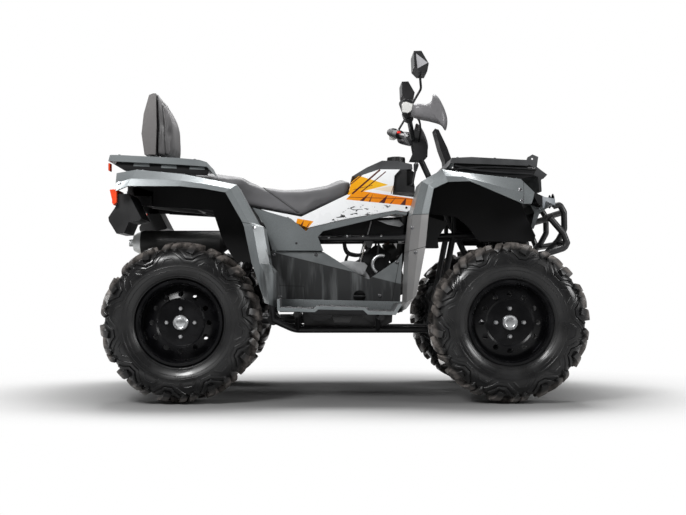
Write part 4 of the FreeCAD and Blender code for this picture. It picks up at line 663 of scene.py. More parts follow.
def curve_through(points, steps, closed=False):
    """Points along a smooth curve through the given ones, so many steps from each one to the next."""
    corners = [Vector(p) for p in points]
    many = len(corners)
    spans = many if closed else many - 1
    result = []
    for index in range(spans):
        if closed:
            a, b, c, d = (corners[(index + k) % many] for k in (-1, 0, 1, 2))
        else:
            b, c = corners[index], corners[index + 1]
            a = corners[index - 1] if index > 0 else b + b - c
            d = corners[index + 2] if index + 2 < many else c + c - b
        for step in range(steps):
            t = step / steps
            result.append(0.5 * (2 * b + (c - a) * t + (2 * a - 5 * b + 4 * c - d) * t * t
                                 + (3 * b - a - 3 * c + d) * t * t * t))
    if not closed:
        result.append(corners[-1].copy())
    return result


FLANGE_SHARES = ((0.0, 0.72), (0.10, 0.72), (0.20, 0.56))
HEXAGON_SHARES = ((0.10, 0.55), (0.48, 0.55), (0.56, 0.46), (0.56, 0.25), (0.50, 0.20))
SCREW_SHARES = ((0.0, 0.60), (0.12, 0.60), (0.34, 0.42), (0.40, 0.26), (0.12, 0.22))
FLANGE_SINK, SCREW_SINK = 0.6, 0.5
MERGE = 0.01


def around_circle(many):
    """The angles of points spread evenly round a circle."""
    return [2 * math.pi * k / many for k in range(many)]


class Shape:
    """Points and faces, in millimetres, gathered for one piece."""

    def __init__(self):
        self.points = []
        self.faces = []

    def grid(self, rows, round_columns=False):
        """Rows of points joined by four-sided faces; round columns close on themselves."""
        start = len(self.points)
        wide = len(rows[0])
        for row in rows:
            self.points.extend(Vector(p) for p in row)
        for i in range(len(rows) - 1):
            for j in range(wide if round_columns else wide - 1):
                below = start + i * wide
                above = below + wide
                ahead = (j + 1) % wide
                self.faces.append((below + j, below + ahead, above + ahead, above + j))

    def face(self, points):
        """One flat face through the given points."""
        start = len(self.points)
        self.points.extend(Vector(p) for p in points)
        self.faces.append(tuple(range(start, start + len(points))))

    def barrel(self, rows):
        """Rings joined up and closed at both ends."""
        self.grid(rows, round_columns=True)
        self.face(rows[0][::-1])
        self.face(rows[-1])

    def tube(self, points, radius, around):
        """A round tube along the given points, closed at its ends."""
        points = [Vector(p) for p in points]
        across, upward = sides_of(points[1] - points[0])
        rows = []
        for index, point in enumerate(points):
            ahead = points[min(index + 1, len(points) - 1)] - points[max(index - 1, 0)]
            way = ahead.normalized()
            across = (across - way * across.dot(way)).normalized()
            upward = way.cross(across)
            rows.append([point + (across * math.cos(turn) + upward * math.sin(turn)) * radius
                         for turn in around_circle(around)])
        self.barrel(rows)

    def lathe(self, profile, origin, way, around):
        """A turned form: each profile point is how far along the way, and how far out from it."""
        origin = Vector(origin)
        way = Vector(way).normalized()
        first, second = sides_of(way)
        rows = []
        for along, out in profile:
            centre = origin + way * along
            rows.append([centre + (first * math.cos(turn) + second * math.sin(turn)) * out
                         for turn in around_circle(around)])
        self.barrel(rows)

    def turned(self, shares, across, sink, place, way, around):
        """A lathe form given in shares of its width, its first ring sunk into the surface."""
        profile = [(along * across, out * across) for along, out in shares]
        if sink:
            profile[0] = (-sink, profile[0][1])
        self.lathe(profile, place, way, around)

    def bolt(self, place, way, across):
        """A flanged hexagon bolt head that sits on a surface."""
        self.turned(FLANGE_SHARES, across, FLANGE_SINK, place, way, 20)
        self.turned(HEXAGON_SHARES, across, 0.0, place, way, 6)

    def screw(self, place, way, across):
        """A low domed screw head with a hexagon socket."""
        self.turned(SCREW_SHARES, across, SCREW_SINK, place, way, 18)

    def mirrored(self):
        """The same shape on both sides of the machine."""
        start = len(self.points)
        self.points.extend([Vector((p.x, -p.y, p.z)) for p in self.points])
        self.faces.extend([tuple(start + k for k in reversed(face)) for face in list(self.faces)])
        return self

    def piece(self, name, body, material, slot, angle=38):
        mesh = bpy.data.meshes.new(name)
        mesh.from_pydata([tuple(p * MM) for p in self.points], [], self.faces)
        return add_piece(name, mesh, body, material, angle)


def add_piece(name, mesh, body, material, angle=38):
    """Makes a piece of a mesh: cleaned, shaded with sharp edges above an angle, and riding on a body."""
    work = bmesh.new()
    work.from_mesh(mesh)
    bmesh.ops.remove_doubles(work, verts=work.verts, dist=MERGE * MM)
    bmesh.ops.recalc_face_normals(work, faces=work.faces)
    work.to_mesh(mesh)
    work.free()
    mesh.polygons.foreach_set("use_smooth", [True] * len(mesh.polygons))
    mesh.set_sharp_from_angle(angle=math.radians(angle))
    mesh.materials.clear()
    mesh.materials.append(material)
    piece = bpy.data.objects.new(name, mesh)
    bpy.context.collection.objects.link(piece)
    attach(piece, body)
    return piece


def plate(outline, y_out, y_in, bevel):
    """A moulded plate: an outline of X and Z between two depths, with bevelled edges, as a mesh."""
    work = bmesh.new()
    ring = [work.verts.new((x * MM, y_in * MM, z * MM)) for x, z in outline]
    base = work.faces.new(ring)
    made = bmesh.ops.extrude_face_region(work, geom=[base])
    moved = [item for item in made["geom"] if isinstance(item, bmesh.types.BMVert)]
    bmesh.ops.translate(work, verts=moved, vec=(0, (y_out - y_in) * MM, 0))
    bmesh.ops.recalc_face_normals(work, faces=work.faces)
    bmesh.ops.bevel(work, geom=list(work.edges), offset=bevel * MM, segments=2, profile=0.6,
                    affect="EDGES", clamp_overlap=True)
    mesh = bpy.data.meshes.new("plate")
    work.to_mesh(mesh)
    work.free()
    return mesh


def on_both_sides(meshes):
    """Several meshes and their mirror images as one mesh."""
    work = bmesh.new()
    other = bmesh.new()
    for mesh in meshes:
        work.from_mesh(mesh)
        other.from_mesh(mesh)
    bmesh.ops.scale(other, vec=(1, -1, 1), verts=other.verts)
    bmesh.ops.reverse_faces(other, faces=other.faces)
    flipped = bpy.data.meshes.new("flipped")
    other.to_mesh(flipped)
    other.free()
    work.from_mesh(flipped)
    whole = bpy.data.meshes.new("whole")
    work.to_mesh(whole)
    work.free()
    return whole


# tyres and wheels

TYRE_PROFILE_SHARES = (
    (0.937, 0.0), (0.934, 0.36), (0.915, 0.64), (0.872, 0.83), (0.81, 0.935), (0.745, 0.968), (0.68, 0.950),
    (0.615, 0.885), (0.565, 0.80), (0.538, 0.73), (0.524, 0.68),
)
TREAD_REPEATS = 10
FLAT_RADIUS = 280.0
GROUND_GAP, FLANK_GAP = 0.1, 0.4
SINK = 1.5
SECTION_STEPS = 34
RING_POINTS = 144
SIDEWALL_RINGS = ((221, 2.2, 1.0), (206, 1.6, 0.7), (184, 3.0, 1.2), (177, 2.0, 0.8))


class Casing:
    """The tyre's carcass: a smooth section, and places on it by angle and distance from the crown."""

    def __init__(self, half):
        self.half = half
        corners = [(radius * TYRE_RADIUS, share * half, 0) for radius, share in TYRE_PROFILE_SHARES]
        self.section = curve_through(corners, 10)
        self.reach = [0.0]
        for before, after in zip(self.section, self.section[1:]):
            self.reach.append(self.reach[-1] + (after - before).length)

    def down_to(self, radius):
        """How far over the casing, from the crown, its radius falls to the given one."""
        for index, point in enumerate(self.section):
            if point.x <= radius:
                return self.reach[index]
        return self.reach[-1]

    def spot(self, angle, over, height):
        """Angle in degrees, distance from the crown along the section, height above it."""
        distance = min(abs(over), self.reach[-1] - 0.001)
        index = max(k for k, reach in enumerate(self.reach) if reach <= distance)
        index = min(index, len(self.section) - 2)
        a, b = self.section[index], self.section[index + 1]
        share = (distance - self.reach[index]) / (self.reach[index + 1] - self.reach[index])
        point = a.lerp(b, share)
        way = (b - a).normalized()
        normal = Vector((way.y, -way.x, 0))
        if index == 0:
            normal = Vector((1, 0, 0))
        radius = min(point.x + normal.x * height, TYRE_RADIUS - GROUND_GAP)
        side = min(point.y + normal.y * height, self.half - FLANK_GAP) * (1 if over >= 0 else -1)
        turn = math.radians(angle)
        return Vector((radius * math.cos(turn), side, radius * math.sin(turn)))


def ridge(shape, casing, path, width, height, slope):
    """A raised bar along (angle, distance over the casing) corners, its sides sloping a little."""
    flat = [Vector((math.radians(angle) * FLAT_RADIUS, over)) for angle, over in path]
    mitres = []
    for index in range(len(flat)):
        before = (flat[index] - flat[index - 1]).normalized() if index else None
        after = (flat[index + 1] - flat[index]).normalized() if index + 1 < len(flat) else None
        way = ((before or after) + (after or before)).normalized()
        square = Vector((-way.y, way.x))
        shrink = square.dot(Vector((-(after or before).y, (after or before).x)))
        mitres.append(square / max(shrink, 0.5))
    half = width / 2
    heights = height if isinstance(height, tuple) else (height,) * len(flat)
    rows = []
    for index in range(len(flat) - 1):
        steps = max(2, int((flat[index + 1] - flat[index]).length / 7))
        for step in range(steps + (index == len(flat) - 2)):
            t = step / steps
            centre = flat[index].lerp(flat[index + 1], t)
            square = mitres[index].lerp(mitres[index + 1], t)
            tall = heights[index] * (1 - t) + heights[index + 1] * t
            side = ((half + slope, -SINK), (half, tall * 0.85), (half - slope * 0.7, tall))
            section = [(-out, rise) for out, rise in side] + [(0, tall)] + list(side[::-1])
            rows.append([(centre + square * offset, rise) for offset, rise in section])
    placed = [[casing.spot(math.degrees(p.x / FLAT_RADIUS), p.y, rise) for p, rise in row] for row in rows]
    shape.grid(placed)
    shape.face(placed[0][::-1])
    shape.face(placed[-1])


CROWN = 0
CROWN_GAP = 8.0

# bars of the pattern: corners as an angle and a place over the casing, then width, height and slope; a place
# is a share of the half width where it is below one, the gap at the crown where it is zero, else a radius
FOOT_BAR = (((10, 231), (14.6, 254), (21.4, 254), (26, 231)), 7, 2.6, 1.4)
OUTER_ARROW = (((-14, 280), (-4, 241), (4, 241), (14, 280)), 12, 3.6, 1.8)
INNER_ARROW = (((-9.5, 284), (-2.8, 257), (2.8, 257), (9.5, 284)), 10, 7.0, 2.0)
SHORT_BLOCK = (((0.5, 270), (-1.5, 0.72), (-5.0, 0.46)), 27, (13.0, 18.0, 19.5), 2.6)
LONG_BAR = (((14.5, 280), (13.0, 0.80), (9.0, 0.34), (3.0, CROWN)), 23, (12.0, 17.0, 19.8, 19.8), 2.6)
SIDE_BAR = (((-14.5, 280), (-16.0, 0.80), (-20.0, 0.42)), 21, (12.0, 17.0, 19.8), 2.6)
TREAD_BARS = (FOOT_BAR, OUTER_ARROW, INNER_ARROW, SHORT_BLOCK, LONG_BAR, SIDE_BAR)


def over_casing(casing, place):
    """How far from the crown a place of the pattern lies."""
    if place == CROWN:
        return CROWN_GAP
    return casing.down_to(place) if place > 1 else place * casing.half


def tread(shape, casing):
    """One pattern of shoulder steps, blocks and long bars, repeated round both halves."""
    period = 360 / TREAD_REPEATS
    for side, lead in ((1, 0), (-1, period / 4)):
        for index in range(TREAD_REPEATS):
            at = index * period + lead
            for corners, width, height, slope in TREAD_BARS:
                path = [(at + angle, side * over_casing(casing, place)) for angle, place in corners]
                ridge(shape, casing, path, width, height, slope)


def tyre(name, half, x, y, body, node):
    """Casing, sidewall rings and tread in place of a CAD tyre."""
    casing = Casing(half)
    shape = Shape()
    overs = [casing.reach[-1] * (1 - k / SECTION_STEPS) for k in range(SECTION_STEPS)] + [0.0]
    overs += [-over for over in reversed(overs[:-1])]
    turns = [360 * k / RING_POINTS for k in range(RING_POINTS)]
    shape.grid([[casing.spot(turn, over, 0) for turn in turns] for over in overs], round_columns=True)
    for side in (1, -1):
        for radius, width, tall in SIDEWALL_RINGS:
            over = casing.down_to(radius) * side
            section = ((-width, -0.3), (-width * 0.5, tall), (width * 0.5, tall), (width, -0.3))
            shape.grid([[casing.spot(turn, over + offset * side, rise) for turn in turns]
                        for offset, rise in section], round_columns=True)
    tread(shape, casing)
    turn = Matrix.Scale(-1 if y > 0 else 1, 3, X_WAY)
    shape.points = [turn @ p + Vector((x, y, WHEEL_Z)) for p in shape.points]
    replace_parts(shape.piece(name, body, TYRE, "tyre", 30), node)


NUT_CIRCLE = 55
NUT_PARTS = (
    (((0.0, 10.5), (2.0, 10.5), (5.0, 8.6)), 24), (((4.0, 9.2), (14.0, 9.2), (16.0, 7.4), (16.0, 5.6)), 6),
    (((14.0, 5.1), (18.6, 5.1), (19.6, 4.2)), 16),
)
HUB_CAP = (
    (2.0, 31.5), (4.0, 31.5), (6.5, 29.6), (19.0, 29.6), (20.6, 27.6), (20.6, 21.0), (19.2, 19.0),
    (20.0, 17.0), (20.4, 4.0),
)
VALVE_CIRCLE = 130
VALVE_ANGLE = 118
VALVE_LEAN = 0.55
VALVE_STEM = ((-4, 5.4), (5, 5.2), (9, 3.4), (24, 3.2), (25, 4.3), (35, 4.3), (36, 3.4))
FRONT_HUB_FACE, REAR_HUB_FACE = 483.0, 468.5
FRONT_VALVE_FOOT, REAR_VALVE_FOOT = 484.0, 470.0


def wheel_nuts(shape, x, face_y, sign):
    """Four cone nuts with their studs, and the rim of the hub cap."""
    way = Y_WAY * sign
    middle = Vector((x, sign * face_y, WHEEL_Z))
    for turn in around_circle(4):
        place = middle + Vector((math.cos(turn), 0, math.sin(turn))) * NUT_CIRCLE
        for profile, around in NUT_PARTS:
            shape.lathe(profile, place, way, around)
    shape.lathe(HUB_CAP, middle, way, 56)


def valve(shape, x, foot_y, sign):
    """A valve stem that leans out of the rim's well."""
    turn = math.radians(VALVE_ANGLE)
    out = Vector((math.cos(turn), 0, math.sin(turn)))
    root = Vector((x, sign * foot_y, WHEEL_Z)) + out * VALVE_CIRCLE
    shape.lathe(VALVE_STEM, root, Y_WAY * sign - out * VALVE_LEAN, 16)


rear_nuts = Shape()
rear_valves = Shape()
for side, sign in SIDES:
    wheel = "front_wheel_" + side
    for end, half, x, y, body in (
        ("front", FRONT_TYRE_HALF, FRONT_WHEEL_X, FRONT_WHEEL_Y, wheel),
        ("rear", REAR_TYRE_HALF, REAR_WHEEL_X, REAR_WHEEL_Y, "rear_axle"),
    ):
        tyre(end + "_tread_" + side, half, x, sign * y, body, end + "_tyre_" + side)
    nuts = Shape()
    wheel_nuts(nuts, FRONT_WHEEL_X, FRONT_HUB_FACE, sign)
    nuts.piece("front_wheel_nuts_" + side, wheel, BOLT, "axle_steel")
    stem = Shape()
    valve(stem, FRONT_WHEEL_X, FRONT_VALVE_FOOT, sign)
    stem.piece("front_valve_" + side, wheel, LINER, "rubber")
    wheel_nuts(rear_nuts, REAR_WHEEL_X, REAR_HUB_FACE, sign)
    valve(rear_valves, REAR_WHEEL_X, REAR_VALVE_FOOT, sign)
rear_nuts.piece("rear_wheel_nuts", "rear_axle", BOLT, "axle_steel")
rear_valves.piece("rear_valves", "rear_axle", LINER, "rubber")

# padded seat and backrest: sewn covers blown up by simulated air pressure


def applied(piece):
    """The piece's mesh with all its modifiers applied, in place of its own."""
    seen = piece.evaluated_get(bpy.context.evaluated_depsgraph_get())
    mesh = bpy.data.meshes.new_from_object(seen)
    piece.modifiers.clear()
    piece.data = mesh
    return mesh


def smoothed(piece, rounds):
    """Evens the piece's mesh out a number of times."""
    smooth = piece.modifiers.new("smooth", "SMOOTH")
    smooth.factor = 0.5
    smooth.iterations = rounds
    applied(piece)


def softened(source, inset, voxel, rounding):
    """A closed even mesh of a CAD solid, a little smaller and with rounded corners."""
    mesh = source.data.copy()
    low = Vector([min(v.co[k] for v in mesh.vertices) for k in range(3)])
    high = Vector([max(v.co[k] for v in mesh.vertices) for k in range(3)])
    middle = (low + high) / 2
    size = high - low
    for vertex in mesh.vertices:
        for k in range(3):
            vertex.co[k] = middle[k] + (vertex.co[k] - middle[k]) * (1 - 2 * inset * MM / size[k])
    piece = bpy.data.objects.new("pad", mesh)
    bpy.context.collection.objects.link(piece)
    remesh = piece.modifiers.new("remesh", "REMESH")
    remesh.mode = "VOXEL"
    remesh.voxel_size = voxel * MM
    applied(piece)
    smoothed(piece, rounding)
    return piece


COVER_PRESSURE = 4.0
COVER_FRAMES = 20
COVER_STIFFNESS = 20
SEAM_WIDTH, SEAM_DEPTH = 7.0, 3.2
SHORTEST_RUN = 12
CORD_RADIUS, CORD_LIFT, CORD_STEP = 1.5, 0.9, 4.0
THREAD_RADIUS, THREAD_LIFT, STITCH_STEP, STITCH_ASIDE = 0.55, 0.3, 6.5, 4.6
STITCH_START_SHARE, STITCH_END_SHARE = 0.18, 0.78
EDGE_FIRST, EDGE_LAST, EDGE_STEP, EDGE_RISE = -630, 22, 14, 1.5
EDGE_VIEW, EDGE_SIDE, EDGE_LOWEST, EDGE_HIGHEST = -200, -118, 740.0, 900
EDGE_CORD_RADIUS, EDGE_CORD_LIFT = 3.2, 0.6


def inflate(piece, cap, held):
    """Blows the cover up; no point moves further than the cap times what held gives for its place."""
    before = [v.co.copy() for v in piece.data.vertices]
    cloth = piece.modifiers.new("cloth", "CLOTH")
    cloth.settings.quality = 4
    cloth.settings.mass = 0.3
    cloth.settings.tension_stiffness = COVER_STIFFNESS
    cloth.settings.compression_stiffness = COVER_STIFFNESS
    cloth.settings.bending_stiffness = 1.5
    cloth.settings.use_pressure = True
    cloth.settings.uniform_pressure_force = COVER_PRESSURE
    cloth.settings.effector_weights.gravity = 0
    cloth.point_cache.frame_start = 1
    cloth.point_cache.frame_end = COVER_FRAMES
    scene = bpy.context.scene
    for frame_number in range(1, COVER_FRAMES + 1):
        scene.frame_set(frame_number)
    mesh = applied(piece)
    scene.frame_set(1)
    for vertex, start in zip(mesh.vertices, before):
        move = vertex.co - start
        most = cap * MM * held(start / MM)
        vertex.co = start + (move * (most / move.length) if move.length > most else move)


def pressed(piece, seam):
    """Draws the cover in along the seam that a plane cuts."""
    point, way, keep = seam
    mesh = piece.data
    normals = [v.normal.copy() for v in mesh.vertices]
    for vertex, normal in zip(mesh.vertices, normals):
        away = abs((vertex.co / MM - point).dot(way))
        if away < SEAM_WIDTH and keep(vertex.co / MM):
            share = 1 - away / SEAM_WIDTH
            vertex.co -= normal * (SEAM_DEPTH * MM * share * share * (3 - 2 * share))


def seam_runs(piece, seam):
    """The lines where a plane cuts the cover, as runs of points in millimetres."""
    point, way, keep = seam
    work = bmesh.new()
    work.from_mesh(piece.data)
    everything = list(work.verts) + list(work.edges) + list(work.faces)
    cut = bmesh.ops.bisect_plane(work, geom=everything, plane_co=point * MM, plane_no=way)["geom_cut"]
    edges = {item for item in cut if isinstance(item, bmesh.types.BMEdge)}
    runs = []
    while edges:
        edge = min(edges, key=lambda e: e.index)
        edges.discard(edge)
        chain = [edge.verts[0], edge.verts[1]]
        for end in (True, False):
            going = True
            while going:
                tip = chain[-1] if end else chain[0]
                following = [e for e in tip.link_edges if e in edges]
                going = bool(following)
                if going:
                    edges.discard(following[0])
                    other = following[0].other_vert(tip)
                    chain.insert(len(chain) if end else 0, other)
        runs.append([(v.co / MM, v.normal.copy()) for v in chain])
    work.free()
    kept = [[(p, n) for p, n in run if keep(p)] for run in runs]
    return [run for run in kept if len(run) > SHORTEST_RUN]


def evenly(run, step):
    """The same run with its points a given distance apart."""
    result = [run[0]]
    left = step
    for (a, na), (b, nb) in zip(run, run[1:]):
        long = (b - a).length
        while long > 0 and left <= long:
            share = left / long
            result.append((a.lerp(b, share), na.lerp(nb, share).normalized()))
            left += step
        left -= long
    return result


def calmed(places):
    """A run of places with each one drawn halfway to its neighbours, but for the ends."""
    inner = [(a + b * 2 + c) / 4 for a, b, c in zip(places, places[1:], places[2:])]
    return [places[0], *inner, places[-1]]


def sewn(name, piece, seam):
    """A round cord in the seam, with a row of stitches beside it."""
    cord = Shape()
    thread = Shape()
    for run in seam_runs(piece, seam):
        marks = evenly(run, CORD_STEP)
        if len(marks) < SHORTEST_RUN / 2:
            continue
        smooth = calmed([p for p, n in marks])[:-1]
        cord.tube([p + mark[1] * CORD_LIFT for p, mark in zip(smooth, marks)], CORD_RADIUS, 8)
        stitches = evenly(run, STITCH_STEP)
        for (a, na), (b, nb) in zip(stitches, stitches[1:]):
            side = (b - a).cross(na).normalized() * STITCH_ASIDE
            start = a.lerp(b, STITCH_START_SHARE) + side + na * CORD_LIFT
            end = a.lerp(b, STITCH_END_SHARE) + side + na * CORD_LIFT
            middle = start.lerp(end, 0.5) + na * THREAD_LIFT
            thread.tube([start - na * CORD_LIFT, middle, end - na * CORD_LIFT], THREAD_RADIUS, 5)
    cord.piece(name + "_piping", "chassis", PIPING, "seat_vinyl", 60)
    thread.piece(name + "_stitches", "chassis", THREAD, "seat_vinyl", 60)


def stretched(piece, low, high):
    """Fits the cover between two corners in millimetres."""
    for k in range(3):
        least = min(v.co[k] for v in piece.data.vertices)
        most = max(v.co[k] for v in piece.data.vertices)
        for vertex in piece.data.vertices:
            vertex.co[k] = (low[k] + (high[k] - low[k]) * (vertex.co[k] - least) / (most - least)) * MM


def cushion(name, node, look, seam, low, high, inset, voxel, cap, held, front=None):
    """A sewn cover in place of a CAD pad, fitted between two corners, with a front of its own where given."""
    piece = softened(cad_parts[node], inset, voxel, ROUNDING)
    piece.name = name
    inflate(piece, cap, held)
    smoothed(piece, ROUNDING * 2)
    stretched(piece, low, high)
    if front is not None:
        for vertex in piece.data.vertices:
            share = (vertex.co.x / MM - low[0]) / (high[0] - low[0])
            vertex.co.x = (low[0] + share * (front(vertex.co.z / MM) - low[0])) * MM
    round_off = piece.modifiers.new("round", "SUBSURF")
    round_off.levels = 1
    applied(piece)
    pressed(piece, seam)
    piece.data.name = name
    piece.data.materials.clear()
    piece.data.materials.append(look)
    piece.data.polygons.foreach_set("use_smooth", [True] * len(piece.data.polygons))
    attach(piece, "chassis")
    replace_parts(piece, node)
    sewn(name, piece, seam)
    return piece


ROUNDING = 9
SEAT_FLOOR = 762
SEAT_LOW, SEAT_HIGH = (-640.0, -149.5, 759.5), (27.0, 149.5, 944.5)
SEAT_SEAM_WAY = Vector((-46, 0, -63)).normalized()
SEAT_SEAM = (Vector((-182, 0, SEAT_FLOOR)), SEAT_SEAM_WAY, lambda place: place.z > SEAT_FLOOR + 6)
PAD_LOW, PAD_HIGH = (-791.5, -168.0, 1011.0), (-714.0, 168.0, 1275.0)
PAD_SEAM = (Vector((-764, 0, 1165)), Vector((262, 0, 17)).normalized(), lambda place: True)
PAD_BEND = 1140


def seat_give(place):
    """The seat's cover is held along its floor."""
    return min(1.0, max(0.15, (place.z - SEAT_FLOOR) / 60))


def pad_give(place):
    """The backrest's cover is held along its shell."""
    return min(1.0, max(0.1, (place.x + 800) / 40))


def pad_front(height):
    """The backrest's front: upright, and leaning back above the bend."""
    return -728 - 58 * max(0.0, (height - PAD_BEND) / 135) ** 2


seat = cushion("seat_cushion", "seat", VINYL, SEAT_SEAM, SEAT_LOW, SEAT_HIGH,
               inset=3.0, voxel=6.5, cap=9.0, held=seat_give)
cushion("backrest_cushion", "backrest_pad", LIT_PAD_VINYL, PAD_SEAM, PAD_LOW, PAD_HIGH,
        inset=4.0, voxel=5.5, cap=10.0, held=pad_give, front=pad_front)


def tree_of(mesh):
    """A mesh's faces, ready to be looked at along a ray."""
    return BVHTree.FromPolygons([v.co for v in mesh.vertices], [tuple(p.vertices) for p in mesh.polygons])


def lower_edge(piece):
    """A black cord along the bottom edge of the seat's side."""
    tree = tree_of(piece.data)
    run = []
    for x in range(EDGE_FIRST, EDGE_LAST + 1, EDGE_STEP):
        z = EDGE_LOWEST
        while z < EDGE_HIGHEST:
            place = tree.ray_cast(Vector((x, EDGE_VIEW, z)) * MM, Y_WAY)[0]
            if place is not None and place.y < EDGE_SIDE * MM:
                run.append(place / MM + Vector((0, -EDGE_CORD_LIFT, EDGE_RISE)))
                break
            z += EDGE_RISE
    cord = Shape()
    cord.tube(curve_through(calmed(calmed(run)), 2), EDGE_CORD_RADIUS, 8)
    cord.mirrored().piece("seat_edge_cord", "chassis", GLOSS_BLACK, "seat_vinyl", 60)


lower_edge(seat)

# fittings: each is set on the surface of the node that carries it

RIGHT_OF_ALL = -700
ABOVE_ALL = 1600
BEHIND_ALL = -1200
AHEAD_OF_ALL = 1200


class Surface:
    """A node's own surface, found by looking at it along an axis."""

    def __init__(self, node):
        self.tree = tree_of(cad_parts[node].data)

    def hit(self, start, way):
        """The place that is met and the way it faces, or None."""
        place, normal = self.tree.ray_cast(Vector(start) * MM, way)[:2]
        if place is None:
            return None
        return place / MM, (-normal if normal.dot(way) > 0 else normal)

    def right(self, x, z):
        return self.hit((x, RIGHT_OF_ALL, z), Y_WAY)

    def top(self, x, y):
        return self.hit((x, y, ABOVE_ALL), -Z_WAY)

    def back(self, y, z):
        return self.hit((BEHIND_ALL, y, z), X_WAY)

    def front(self, y, z):
        return self.hit((AHEAD_OF_ALL, y, z), -X_WAY)


def skin(shape, look, corners, lift, steps):
    """A thin patch that follows a surface between four corners, closed down to it along its edges."""
    a, b, c, d = (Vector(p) for p in corners)
    rows = []
    wide, high = steps
    last = None
    for i in range(-1, high + 2):
        row = []
        for j in range(-1, wide + 2):
            u = min(max(j, 0), wide) / wide
            v = min(max(i, 0), high) / high
            spot = a.lerp(b, u).lerp(d.lerp(c, u), v)
            found = look(spot.x, spot.y) or last
            last = found
            inside = 0 <= i <= high and 0 <= j <= wide
            row.append(found[0] + found[1] * (lift if inside else -SINK))
        rows.append(row)
    shape.grid(rows)


def box_corners(low_x, high_x, low_y, high_y):
    """The four corners of an upright box, for skin()."""
    return [(low_x, low_y), (high_x, low_y), (high_x, high_y), (low_x, high_y)]


def bolts_on(shape, look, places, across, socket=False):
    """Bolts, or socket screws, where the look meets the surface."""
    for place in places:
        found = look(*place)
        if found:
            (shape.screw if socket else shape.bolt)(*found, across)


body_bolts = Shape()
for node, places in (
    ("front_flares", [(273, 592), (685, 839), (689, 795), (262, 690)]),
    ("rear_flares", [(-357, 689), (-881, 861), (-297, 560)]),
    ("leg_shields", [(-295, 593), (-118, 592), (222, 560), (-268, 415), (150, 420)]),
):
    bolts_on(body_bolts, Surface(node).right, places, 10.0)
body_bolts.mirrored().piece("body_bolts", "chassis", DULL_BOLT, "axle_steel", 30)

body_screws = Shape()
for node, across, places in (
    ("front_flares", 11.0, [(420, -300), (640, -300), (420, -480), (640, -480)]),
    ("rear_flares", 11.0, [(-800, -300), (-560, -300), (-800, -480), (-560, -480)]),
    ("front_rack", 10.0, [(450, -425), (600, -425), (740, -425)]),
    ("rear_rack", 10.0, [(-900, -425), (-740, -425), (-600, -425)]),
):
    bolts_on(body_screws, Surface(node).top, places, across, True)
for node, places in (("side_covers", [(-236, 745), (262, 790)]), ("side_trims", [(-330, 655), (-200, 640)])):
    bolts_on(body_screws, Surface(node).right, places, 8.0, True)
body_screws.mirrored().piece("body_screws", "chassis", GLOSS_BLACK, "black_plastic", 30)

SLOT_HALF = 13
SLOT_HEIGHTS = (668, 672.5)

rail = Surface("frame")
slots = Shape()
for x in (-19, 44, 121):
    skin(slots, rail.right, box_corners(x - SLOT_HALF, x + SLOT_HALF, *SLOT_HEIGHTS), 0.5, (8, 3))
slots.mirrored().piece("rail_slots", "chassis", LINER, "black_plastic")
rail_bolts = Shape()
bolts_on(rail_bolts, rail.right, [(-64, 668), (14, 671), (82, 673), (160, 674)], 7.0)
rail_bolts.mirrored().piece("rail_bolts", "chassis", BOLT, "axle_steel", 30)
screws = Shape()
bolts_on(screws, Surface("engine").right, [(20, 560), (82, 553), (60, 530), (120, 520), (-40, 560)], 9.0)
screws.piece("engine_screws", "chassis", BOLT, "axle_steel", 30)


def bar(shape, middle, way, up, size):
    """A small bevelled bar: its middle, the ways it runs and faces, and its length, width and height."""
    way = Vector(way).normalized()
    up = Vector(up)
    up = (up - way * up.dot(way)).normalized()
    side = up.cross(way)
    long, wide, tall = size
    rows = []
    for share, rise in ((1.0, -0.6), (1.0, tall * 0.65), (0.72, tall)):
        rows.append([Vector(middle) + way * a * (long / 2 - (1 - share) * wide / 2)
                     + side * b * wide / 2 * share + up * rise
                     for a, b in ((-1, -1), (1, -1), (1, 1), (-1, 1))])
    shape.grid(rows, round_columns=True)
    shape.face(rows[-1])


CLEAT_ROWS, CLEAT_LINES = 10, 7
CLEAT_PITCH_X, CLEAT_PITCH_Y = 44, 36
CLEAT_START = (-226, -258)
CLEAT_TURN = 0.6
CLEAT_SIZE = (24, 5, 3)
LEVEL = 0.6

cleats = Shape()
board = Surface("footboards")
for i in range(CLEAT_ROWS):
    for j in range(CLEAT_LINES):
        found = board.top(CLEAT_START[0] + i * CLEAT_PITCH_X, CLEAT_START[1] - j * CLEAT_PITCH_Y)
        if found and found[1].z > LEVEL:
            turn = CLEAT_TURN if (i + j) % 2 else -CLEAT_TURN
            bar(cleats, found[0], (math.cos(turn), math.sin(turn), 0), found[1], CLEAT_SIZE)
cleats.mirrored().piece("board_cleats", "chassis", BOARD, "board_plastic", 30)

CAP_RIB_RADIUS, CAP_RIB_END = 2.2, 5
CAP_TOP = ((-1, 27), (1.6, 27), (3.2, 24), (3.2, 19), (1.2, 17), (1.0, 3))

cap_low, cap_high = (Vector(corner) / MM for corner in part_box("fuel_cap"))
cap_middle = (cap_low + cap_high) / 2
cap_radius = (cap_high.x - cap_low.x) / 2
cap_ribs = Shape()
for turn in around_circle(30):
    out = Vector((math.cos(turn), math.sin(turn), 0))
    foot = Vector((cap_middle.x, cap_middle.y, 0)) + out * (cap_radius - 0.8)
    ends = (cap_low.z + CAP_RIB_END, cap_high.z - CAP_RIB_END)
    cap_ribs.tube([foot + Z_WAY * height for height in ends], CAP_RIB_RADIUS, 6)
cap_ribs.lathe(CAP_TOP, (cap_middle.x, cap_middle.y, cap_high.z), Z_WAY, 40)
cap_ribs.piece("fuel_cap_ribs", "chassis", BLACK, "black_plastic", 35)

